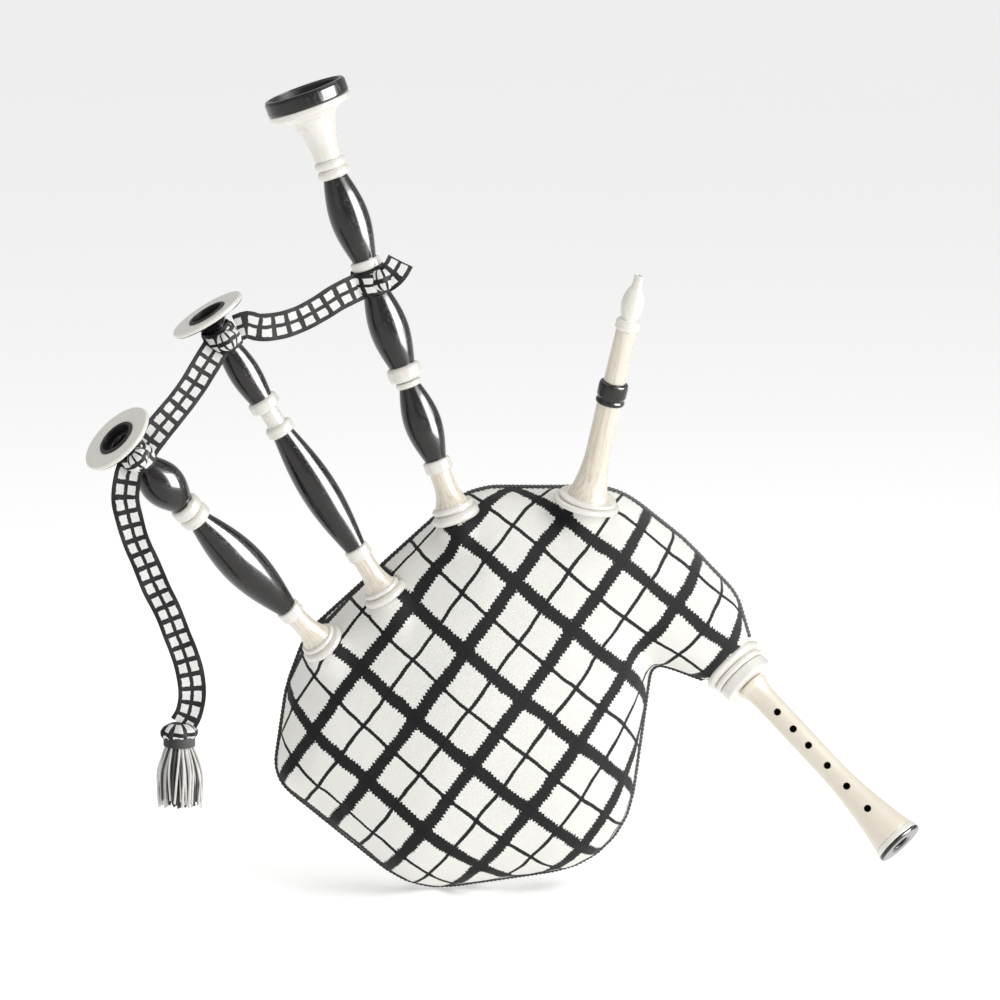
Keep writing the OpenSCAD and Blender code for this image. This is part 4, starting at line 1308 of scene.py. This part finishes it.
class BAGPIPES_OT_seam(bpy.types.Operator):
    """Sews the cover's two panels together, with a black cord along the seam"""
    bl_idname = "bagpipes.seam"
    bl_label = "Seam and cord"

    def execute(self, context):
        s = settings().bag
        cover = bpy.data.objects["tartan_cover"]
        loop = self.outline(cover.data)
        plies = []
        for phase in (0.0, math.pi):
            line, run = [], 0.0
            for i, (p, q) in enumerate(zip(loop, loop[1:])):
                run += (q - p).length
                along = (q - p).normalized()
                side = along.cross(Vector((0, 1, 0))).normalized()
                angle = 2 * math.pi * run / s.twist + phase
                line.append(p + side * math.cos(angle) * s.cord * 0.85
                            + Vector((0, 1, 0)) * math.sin(angle) * s.cord * 0.85)
            plies.append(line)
        cord = grown("seam_cord", "strands", lines_mesh("seam_cord_lines", plies),
                     Radius=s.cord, Sides=8, Material=finish_of("seam_cord"))
        keep(place_in_scene(cord, "seam_cord"), "bag", "binding_cord")
        surface = BVHTree.FromObject(cover, context.evaluated_depsgraph_get())
        rows = []
        for shift in (-0.0062, 0.0062):
            row = []
            for p in loop[::4]:
                spot, normal, _, _ = surface.find_nearest(p + Vector((0, shift, 0)))
                row.append(spot + normal * 0.0002)
            rows.append(row)
        stitches = grown("seam_stitches", "stitches", lines_mesh("stitch_lines", rows), **{
            "Pitch": s.stitch_pitch, "Stitch length": s.stitch, "Stitch radius": 0.0005,
            "Material": finish_of("black_thread")})
        keep(place_in_scene(stitches, "seam_stitches"), "bag", "binding_cord")
        return {"FINISHED"}

    def outline(self, mesh):
        """Points every millimetre or so along the cover's seam, outside the chanter's collar."""
        bm = bmesh.new()
        bm.from_mesh(mesh)
        cut = bmesh.ops.bisect_plane(bm, geom=bm.verts[:] + bm.edges[:] + bm.faces[:],
                                     plane_co=(0, 0, 0), plane_no=(0, 1, 0))["geom_cut"]
        edges = {e for e in cut if isinstance(e, bmesh.types.BMEdge)}
        longest = []
        while edges:
            edge = edges.pop()
            chain = [edge.verts[0], edge.verts[1]]
            growing = True
            while growing:
                growing = False
                for e in chain[-1].link_edges:
                    if e in edges:
                        edges.discard(e)
                        chain.append(e.other_vert(chain[-1]))
                        growing = True
                        break
            if len(chain) > len(longest):
                longest = chain
        points = np.array([v.co[:] for v in longest])
        bm.free()
        if np.linalg.norm(points[0] - points[-1]) < 0.006:
            points = points[:-1]
        local = [CHANTER.inverse @ Vector(p) for p in points]
        hidden = [math.hypot(q.x, q.y) < 0.041 and q.z > -0.006 for q in local]
        start = next(i for i in range(len(points)) if hidden[i - 1] and not hidden[i])
        points = np.roll(points, -start, axis=0)
        hidden = hidden[start:] + hidden[:start]
        points = points[:hidden.index(True) + 1] if True in hidden else points
        for _ in range(12):
            points[1:-1] += ((points[:-2] + points[2:]) / 2 - points[1:-1]) * 0.5
        out = [Vector(points[0])]
        for p, q in zip(points, points[1:]):
            a, b = Vector(p), Vector(q)
            n = max(1, round((b - a).length / 0.0010))
            out += [a.lerp(b, (i + 1) / n) for i in range(n)]
        return out


class BAGPIPES_OT_stocks(bpy.types.Operator):
    """Turns the five stocks with their collars and ferrules"""
    bl_idname = "bagpipes.stocks"
    bl_label = "Stocks"

    def execute(self, context):
        for name, pipe, seat_r, seat_h, top_r, top_z, ring in (
                ("bass", BASS, 20, 20, 12.5, 71, (60, 15, 16)),
                ("middle", MIDDLE, 18, 16, 11.8, 67, (56, 15, 14.5)),
                ("outer", OUTER, 18, 16, 11.8, 67, (56, 15, 14.5))):
            seat = [(seat_r, 0), (seat_r, seat_h)]
            self.stock(name, pipe, seat + hollowed(seat_h, top_z - 24, seat_r, top_r) + [(top_r, top_z)],
                       top_z, 9.05, 28)
            turned_piece(name + "_stock_mount", pipe, bead(9.4, ring[2], ring[0], ring[1], 3.2), "ivory",
                         "bag", "ivory_mount", name + "_stock_ferrule")
        self.stock("blowpipe", BLOW, [(23, 0), (23, 12)] + hollowed(12, 70, 23, 14.2) + [(14.2, 148)],
                   148, 11.05, 62)
        self.stock("chanter", CHANTER, [(23, 0), (23, 31.5)], 31.5, 11.05, 34)
        ferrule = [(11.4, 126), (15.2, 126), (16.6, 127.2), (16.8, 130), (15.7, 132), (15.7, 134),
                   (16.9, 136), (16.9, 148), (16.2, 151), (14.6, 152), (11.4, 152)]
        turned_piece("blowpipe_stock_mount", BLOW, ferrule, "ebony", "bag", "ivory_mount",
                     "blowpipe_stock_ferrule", cut=1.2)
        turned_piece("chanter_stock_mount", CHANTER, bead(11.4, 32.5, 19.5, 15, 3.0), "ivory", "bag",
                     "ivory_mount", "chanter_stock_ferrule")
        parts = []
        for pipe, r, hole, h in ((BASS, 28, 20, 20), (MIDDLE, 26, 18, 16), (OUTER, 26, 18, 16),
                                 (BLOW, 38, 23, 12), (CHANTER, 38, 23, 19)):
            verts, faces = revolved(stepped(hole + 0.02, r, h))
            parts.append(([tuple(pipe.matrix @ Vector(v)) for v in verts], faces, 0))
        keep(assembled("collars", STILL, parts, ["ivory"]), "bag", "ivory_mount", "stock_collars")
        return {"FINISHED"}

    def stock(self, name, pipe, outline, top_z, socket_r, socket_depth):
        foot, floor = -34, top_z - socket_depth - 2
        loop = ([(14.5, foot), (14.5, 0)] + outline
                + [(socket_r, top_z), (socket_r, floor), (8, floor), (8, foot)])
        turned_piece(name + "_stock_wood", pipe, loop, "pale_wood", "bag", "pale_wood", name + "_stock")


def lower_parts(z0, shoulder_z, pin_z, pin_h, swell_r, shoulder_r):
    """A lower joint: swelling, shoulder mount, tenon below and tuning slide above."""
    swell = swollen(z0, shoulder_z, 12.5, swell_r, "ebony", 4)
    tenon = revolved([(4, z0 - 28), (7.8, z0 - 28), (7.8, z0 + 0.5), (4, z0 + 0.5)])
    top = pin_z + pin_h
    shoulder = revolved(bead(4, shoulder_r, shoulder_z - 0.3, pin_z - shoulder_z + 0.3,
                             min(4.0, (pin_z - shoulder_z) * 0.45)))
    slide = revolved([(4, pin_z - 1), (11, pin_z - 1), (11, top - 30), (9.8, top - 30), (9.8, top), (4, top)])
    return [(*swell, 0), (*tenon, 0), (*shoulder, 1), (*slide, 1)]


def upper_parts(z0, height, swell_r):
    swell = swollen(z0 + 16, z0 + height - 4, 14, swell_r, "ebony", 11.05)
    socket = revolved([(11.05, z0), (14, z0), (14, z0 + 16.4), (11.05, z0 + 16.4)])
    low, top = z0 + height - 4.5, z0 + height + 8
    spigot = revolved([(5, low), (9, low), (9, top), (5, top)])
    return [(*swell, 0), (*socket, 0), (*spigot, 0)]


class BAGPIPES_OT_bass_drone(bpy.types.Operator):
    """Turns the bass drone's three joints, its mounts and its bell"""
    bl_idname = "bagpipes.bass_drone"
    bl_label = "Bass drone"

    def execute(self, context):
        keep(assembled("bass_lower_wood", BASS, lower_parts(75.5, 164, 171.5, 48, 21.5, 15),
                       ["ebony", "ivory"]), "bass_lower", "ebony", "bass_lower_joint")
        middle = [(*swollen(190, 278, 15, 22.5, "ebony", 11.05), 0),
                  (*revolved([(11.05, 172), (15, 172), (15, 190.5), (11.05, 190.5)]), 0),
                  (*revolved([(4.5, 277), (16, 277), (16, 306), (11, 306), (11, 324), (9.8, 324), (9.8, 354),
                              (4.5, 354)]), 0)]
        keep(assembled("bass_middle_wood", BASS, middle, ["ebony"]), "bass_middle", "ebony",
             "bass_middle_joint")
        turned_piece("bass_middle_mount", BASS, bead(15.02, 20, 172, 18, 5.5), "ivory", "bass_middle",
                     "ivory_mount", "bass_middle_ferrule")
        top = [(*swollen(318.5, 417, 14, 22.5, "ebony", 11.05), 0),
               (*revolved([(11.05, 306.5), (14, 306.5), (14, 319), (11.05, 319)]), 0),
               (*revolved([(5.5, 416.5), (13, 416.5), (13, 439), (10, 439), (10, 459), (5.5, 459)]), 0)]
        keep(assembled("bass_top_wood", BASS, top, ["ebony"]), "bass_top", "ebony", "bass_top_joint")
        turned_piece("bass_top_mount", BASS, bead(14.02, 17.5, 306.5, 11.5, 3), "ivory", "bass_top",
                     "ivory_mount", "bass_top_ferrule")
        beads = [(*revolved(bead(13.02, 18.5, z, 11, 5)), 0) for z in (417.1, 428)]
        keep(assembled("bass_double_bead", BASS, beads, ["ivory"]), "bass_top", "ivory_mount",
             "bass_bell_rings")
        neck = [(16 + 7 * (i / 16) ** 2, 443 + 36 * i / 16) for i in range(17)]
        cup = ([(10.02, 439.1), (15.5, 439.1)] + neck + flaring(481, 497, 24, 46) + [(48, 500), (48, 504.5),
               (46.8, 505.5), (42, 505.5), (42, 501), (10.02, 501)])
        rim = [(42.02, 505.6), (46.9, 505.6), (48, 507.5), (48, 519.5), (46, 523), (42.02, 523)]
        keep(assembled("bass_bell_cup", BASS, [(*revolved(cup), 0), (*revolved(rim), 1)], ["ivory", "ebony"]),
             "bass_top", "ivory_mount", "bass_bell")
        # Dark sheet inside the bass bell's mouth: partly the real bush, partly painted shade for the shadowed
        # mouth.
        lining = [(10, 501.2), (41.98, 501.2), (41.98, 521.8), (40.6, 522.2), (38, 521.5), (38, 511),
                  (34, 509.4), (24, 508), (12, 505)]
        turned_piece("bass_mouth_lining", BASS, lining, "lining", "bass_top", "bell_lining", "bass_bell_bush")
        return {"FINISHED"}


class BAGPIPES_OT_tenor_drones(bpy.types.Operator):
    """Turns the two tenor drones with their mounts and bells"""
    bl_idname = "bagpipes.tenor_drones"
    bl_label = "Tenor drones"

    def execute(self, context):
        for name, pipe, z0, lower_r, upper_r, shoulder_r in (("middle", MIDDLE, 261, 21.5, 18, 16.5),
                                                             ("outer", OUTER, 241.5, 25, 25, 18)):
            keep(assembled(name + "_lower_wood", pipe, lower_parts(71.5, 228, 241, 58, lower_r, shoulder_r),
                           ["ebony", "ivory"]), name + "_lower", "ebony", name + "_lower_joint")
            body = name + "_upper"
            keep(assembled(name + "_upper_wood", pipe, upper_parts(z0, 88, upper_r), ["ebony"]), body,
                 "ebony", name + "_upper_joint")
            turned_piece(name + "_upper_mount", pipe, bead(14.02, 18, z0, 15.5, 5), "ivory", body,
                         "ivory_mount", name + "_upper_ferrule")
            low = z0 + 84.05
            rim = low + 48
            cup = ([(9.02, low), (14, low)] + flaring(low + 26, rim - 6, 14, 43.5) + [(43.5, rim - 5.2),
                   (23, rim - 5.2), (23, rim - 7), (11, rim - 7), (9.02, rim - 12)])
            face = [(23.02, rim - 5.1), (44, rim - 5.1), (45, rim - 4), (45, rim - 2), (43.5, rim),
                    (31, rim - 0.8), (24.5, rim - 0.9), (23.02, rim - 1.4)]
            keep(assembled(name + "_bell_disc", pipe, [(*revolved(cup), 0), (*revolved(face), 1)],
                           ["ebony", "ivory"]), body, "ivory_mount", name + "_bell")
            # The tenor mouth ring is the bell bush in the dark lining finish, darkened as painted shade for
            # the slot in the bell's mouth.
            turned_piece(name + "_mouth_ring", pipe, bead(19, 22.98, rim - 6.98, 7.5, 1.2), "lining", body,
                         "ivory_mount", name + "_bell_bush")
        return {"FINISHED"}


class BAGPIPES_OT_blowpipe(bpy.types.Operator):
    """Turns the blowpipe and its mouthpiece"""
    bl_idname = "bagpipes.blowpipe"
    bl_label = "Blowpipe"

    def execute(self, context):
        taper = [(12.5 - 0.7 * (i / 8) ** 1.4, 160 + 56 * i / 8) for i in range(9)]
        loop = ([(5, 102), (11, 102), (11, 110), (9.8, 110), (9.8, 147.5), (11, 147.5), (11, 152.5),
                 (12.5, 152.5)] + taper + [(7, 216), (7, 228), (5, 228)])
        turned_piece("blowpipe_tube", BLOW, loop, "pale_wood", "blowpipe", "pale_wood", "blowpipe")
        collar = [(7.02, 216.1), (12.5, 216.1), (14, 218), (14, 221), (13.2, 222), (14, 223), (14, 226),
                  (11, 229)]
        bite = [(6.4, 268), (6, 272), (6, 280), (5, 282), (3, 282), (3, 230), (7.02, 230)]
        outline = collar + swelling(229, 264, 9, 13, 20) + bite
        obj = assembled("mouthpiece_bulb", BLOW, [(*revolved(outline), 0)], ["ivory"])
        for v in obj.data.vertices:
            p = BLOW.inverse @ v.co
            flat = 1 - 0.30 * min(1.0, max(0.0, (p.z - 0.262) / 0.014))
            v.co = BLOW.matrix @ Vector((p.x, p.y * flat, p.z))
        keep(obj, "blowpipe", "mouthpiece", "mouthpiece")
        return {"FINISHED"}


def chanter_radius(z):
    return 14 if z < 170 else 14 + 15 * ((z - 170) / 121) ** 1.7


class BAGPIPES_OT_chanter(bpy.types.Operator):
    """Turns the chanter, drills its holes and sets its sole"""
    bl_idname = "bagpipes.chanter"
    bl_label = "Chanter"

    def execute(self, context):
        end = 279
        shaft = [(chanter_radius(z), z) for z in range(62, 279, 7)]
        head = [(4, 3), (9.8, 3), (9.8, 33), (11, 33), (11, 36), (17, 36), (18.2, 39), (18, 41), (16, 45),
                (15, 50), (14.2, 56)]
        loop = head + shaft + [(chanter_radius(end), end), (10, end), (10, end - 20), (3, 20)]
        wood = assembled("chanter_wood", CHANTER, [(*revolved(loop), 0)], ["pale_wood", "lining"])
        finger_holes = [((1, 0), z, 4.1) for z in (83, 110, 136, 168, 201, 237)]
        drills = finger_holes + [((-1, 0), 70, 3.2), ((0, 1), 258, 4), ((0, -1), 258, 4)]
        cutter = self.cutter(drills)
        modifier = wood.modifiers.new("drilled", "BOOLEAN")
        modifier.operation = "DIFFERENCE"
        modifier.solver = "EXACT"
        modifier.object = cutter
        view = context.evaluated_depsgraph_get()
        mesh = bpy.data.meshes.new_from_object(wood.evaluated_get(view), depsgraph=view)
        wood.modifiers.remove(modifier)
        wood.data = mesh
        bpy.data.objects.remove(cutter)
        # Faces inside the chanter's bore get the dark lining: painted shade, since the bore is pale wood.
        for poly in mesh.polygons:
            p = CHANTER.inverse @ poly.center
            if math.hypot(p.x, p.y) < chanter_radius(p.z / MM) * MM - 0.0012 and p.z > 0.06:
                poly.material_index = 1
        shade(mesh, 35)
        keep(wood, "chanter", "pale_wood", "chanter")
        r = chanter_radius(end)
        sole = [(10, end + 0.1), (r, end + 0.1), (r + 1, 281), (29, 285), (29, 286.4), (10, 286.4)]
        rim = [(10, 286.6), (28.4, 286.6), (28.9, 288.5), (27.4, 290.8), (19, 290.2), (15, 290.6), (10, 289)]
        keep(assembled("chanter_sole_mount", CHANTER, [(*revolved(sole, 1.0), 0), (*revolved(rim, 0.6), 1)],
                       ["ivory", "ebony"]), "chanter", "ivory_mount", "chanter_sole")
        return {"FINISHED"}

    def cutter(self, drills):
        verts, faces = [], []
        sides = 28
        for (x, y), z, r in drills:
            out, across = Vector((x, y, 0)), Vector((-y, x, 0))
            surface = chanter_radius(z)
            rings = [(2.0, r), (surface - 1.0, r), (surface + 1.2, r + 1.2), (surface + 8, r + 1.2)]
            base = len(verts)
            for reach, radius in rings:
                for j in range(sides):
                    a = 2 * math.pi * j / sides
                    p = (Vector((0, 0, z)) + out * reach + across * radius * math.cos(a)
                         + Vector((0, 0, 1)) * radius * math.sin(a))
                    verts.append(tuple(CHANTER.matrix @ (p * MM)))
            for i in range(len(rings) - 1):
                for j in range(sides):
                    n = (j + 1) % sides
                    faces.append((base + i * sides + j, base + i * sides + n, base + (i + 1) * sides + n,
                                  base + (i + 1) * sides + j))
            faces.append(tuple(base + j for j in reversed(range(sides))))
            faces.append(tuple(base + (len(rings) - 1) * sides + j for j in range(sides)))
        mesh = bpy.data.meshes.new("drills")
        mesh.from_pydata(verts, [], faces)
        outward(mesh)
        return place_in_scene(mesh, "drills")


class BAGPIPES_OT_windings(bpy.types.Operator):
    """Winds hemp thread around each tenon and tuning slide"""
    bl_idname = "bagpipes.windings"
    bl_label = "Hemp windings"

    def execute(self, context):
        for name, pipe, body, slots, node in (
                ("bass_tenon_hemp", BASS, "bass_lower", [(9, 48.5, 23), (11, 190.5, 28)],
                 "bass_hemp_windings"),
                ("bass_slide_thread", BASS, "bass_middle", [(11, 325, 28)], "bass_slide_hemp"),
                ("middle_hemp", MIDDLE, "middle_lower", [(9, 44.5, 23), (11, 270, 28)],
                 "middle_hemp_windings"),
                ("outer_hemp", OUTER, "outer_lower", [(9, 44.5, 23), (11, 270, 28)], "outer_hemp_windings"),
                ("blowpipe_thread", BLOW, "blowpipe", [(11, 110.2, 37)], "blowpipe_hemp"),
                ("chanter_thread", CHANTER, "chanter", [(11, 4, 28)], "chanter_hemp")):
            meshes = []
            for radius, low, reach in slots:
                mesh = grown(name, "winding", None, **{
                    "Core radius": radius * MM, "Thread": settings().turning.thread, "Length": reach * MM,
                    "Material": finish_of("hemp")})
                mesh.transform(Matrix.Translation((0, 0, low * MM + settings().turning.thread / 2)))
                mesh.transform(pipe.matrix)
                meshes.append(mesh)
            obj = joined(name, meshes) if len(meshes) > 1 else place_in_scene(meshes[0], name)
            keep(obj, body, "hemp", node)
        return {"FINISHED"}


class BAGPIPES_OT_inside(bpy.types.Operator):
    """Gives the pieces inside the bag and the pipes their finishes"""
    bl_idname = "bagpipes.inside"
    bl_label = "Inner pieces"

    def execute(self, context):
        hide = bpy.data.meshes.new("hide_bag")
        bm = bmesh.new()
        bm.from_mesh(frame["nodes"]["inner_bag"].data)
        bmesh.ops.remove_doubles(bm, verts=bm.verts, dist=1e-6)
        bm.to_mesh(hide)
        bm.free()
        place_points(hide, coordinates(hide) - outward_directions(hide) * HIDE_DRAWN_IN)
        hide.materials.append(finish_of("hide"))
        hide.shade_smooth()
        keep(place_in_scene(hide, "hide_bag"), "bag", "hide", "inner_bag")
        for node, finish in (("stock_bindings", "hemp"), ("bass_reed", "cane"), ("bass_reed_tongue", "cane"),
                             ("middle_reed", "cane"), ("middle_reed_tongue", "cane"), ("outer_reed", "cane"),
                             ("outer_reed_tongue", "cane"), ("valve_flap", "leather"),
                             ("chanter_reed_blades", "cane"), ("chanter_reed_staple", "brass")):
            obj = frame["nodes"][node]
            if not obj.material_slots:
                raise RuntimeError(f"{node} has no material slot")
            for slot in obj.material_slots:
                slot.material = finish_of(finish)
        return {"FINISHED"}


class BAGPIPES_OT_stage(bpy.types.Operator):
    """Lays the pale floor and sets the lights"""
    bl_idname = "bagpipes.stage"
    bl_label = "Stage"

    def execute(self, context):
        low = CAD_BOX[0][2] - 0.004
        mesh = bpy.data.meshes.new("floor")
        mesh.from_pydata([(-30, -30, low), (30, -30, low), (30, 30, low), (-30, 30, low)], [], [(0, 1, 2, 3)])
        f = Finish("pale_floor", roughness=0.9, specular_ior_level=0.1)
        f.shader.inputs["Emission Color"].default_value = (1.0, 1.0, 1.0, 1.0)
        f.shader.inputs["Emission Strength"].default_value = 0.42
        pale = settings().stage.floor
        f.colour(f.mix(f.noise(f.place(), 1.5), pale, tuple(c * 0.985 for c in pale)))
        mesh.materials.append(f.material)
        place_in_scene(mesh, "floor")
        self.light("broad_light", (2.3, -1.6, 1.5), (0.0, -0.05, 0.2), 1.5, 2.6, 46)
        self.light("soft_fill", (-2.2, -2.6, 1.2), (0.0, 0.0, 0.1), 2.0, 2.0, 7)
        self.light("top_light", (0.2, 0.5, 3.0), (0.0, 0.0, 0.0), 2.5, 2.5, 24)
        glow = self.light("gloss_light", (3.0, -1.3, 0.9), (0.0, -0.05, 0.25), 2.6, 3.4, 820)
        glow.visible_diffuse = False
        world = bpy.data.worlds.new("studio")
        world.use_nodes = True
        world.node_tree.nodes["Background"].inputs[0].default_value = (1.0, 1.0, 1.0, 1.0)
        world.node_tree.nodes["Background"].inputs[1].default_value = 0.48
        context.scene.world = world
        context.scene.view_settings.view_transform = "Standard"
        return {"FINISHED"}

    def light(self, name, place, aim, wide, high, power):
        data = bpy.data.lights.new(name, "AREA")
        data.shape, data.size, data.size_y, data.energy = "RECTANGLE", wide, high, power
        lamp = bpy.data.objects.new(name, data)
        lamp.location = place
        lamp.rotation_euler = (Vector(aim) - Vector(place)).to_track_quat("-Z", "Y").to_euler()
        bpy.context.scene.collection.objects.link(lamp)
        return lamp


OPERATORS = (BAGPIPES_OT_camera, BAGPIPES_OT_ribbon, BAGPIPES_OT_tail, BAGPIPES_OT_ties, BAGPIPES_OT_bag,
             BAGPIPES_OT_seam, BAGPIPES_OT_stocks, BAGPIPES_OT_bass_drone, BAGPIPES_OT_tenor_drones,
             BAGPIPES_OT_blowpipe, BAGPIPES_OT_chanter, BAGPIPES_OT_windings, BAGPIPES_OT_inside,
             BAGPIPES_OT_stage)


class BAGPIPES_PT_panel(bpy.types.Panel):
    """Lists the pieces of the pipes and their sizes"""
    bl_idname = "BAGPIPES_PT_panel"
    bl_label = "Bagpipes"
    bl_space_type = "VIEW_3D"
    bl_region_type = "UI"
    bl_category = "Bagpipes"

    def draw(self, context):
        for operator in OPERATORS:
            self.layout.operator(operator.bl_idname)
        for group in (settings().colours, settings().tartan, settings().ribbon, settings().bag,
                      settings().turning, settings().tassel, settings().stage):
            box = self.layout.box()
            for key in group.__annotations__:
                box.prop(group, key)


CLASSES = (PipeColours, TartanSett, CheckedRibbon, BagMaking, TurningWork, TasselMaking, StageSetting,
           BagpipesSettings, *OPERATORS, BAGPIPES_PT_panel)


def register():
    for cls in CLASSES:
        bpy.utils.register_class(cls)
    bpy.types.Scene.bagpipes = PointerProperty(type=BagpipesSettings)


def unregister():
    del bpy.types.Scene.bagpipes
    for cls in reversed(CLASSES):
        bpy.utils.unregister_class(cls)


def main():
    register()
    for operator in OPERATORS:
        family, name = operator.bl_idname.split(".")
        if getattr(getattr(bpy.ops, family), name)() != {"FINISHED"}:
            raise RuntimeError(f"{operator.bl_label} did not finish")


if __name__ == "__main__":
    main()
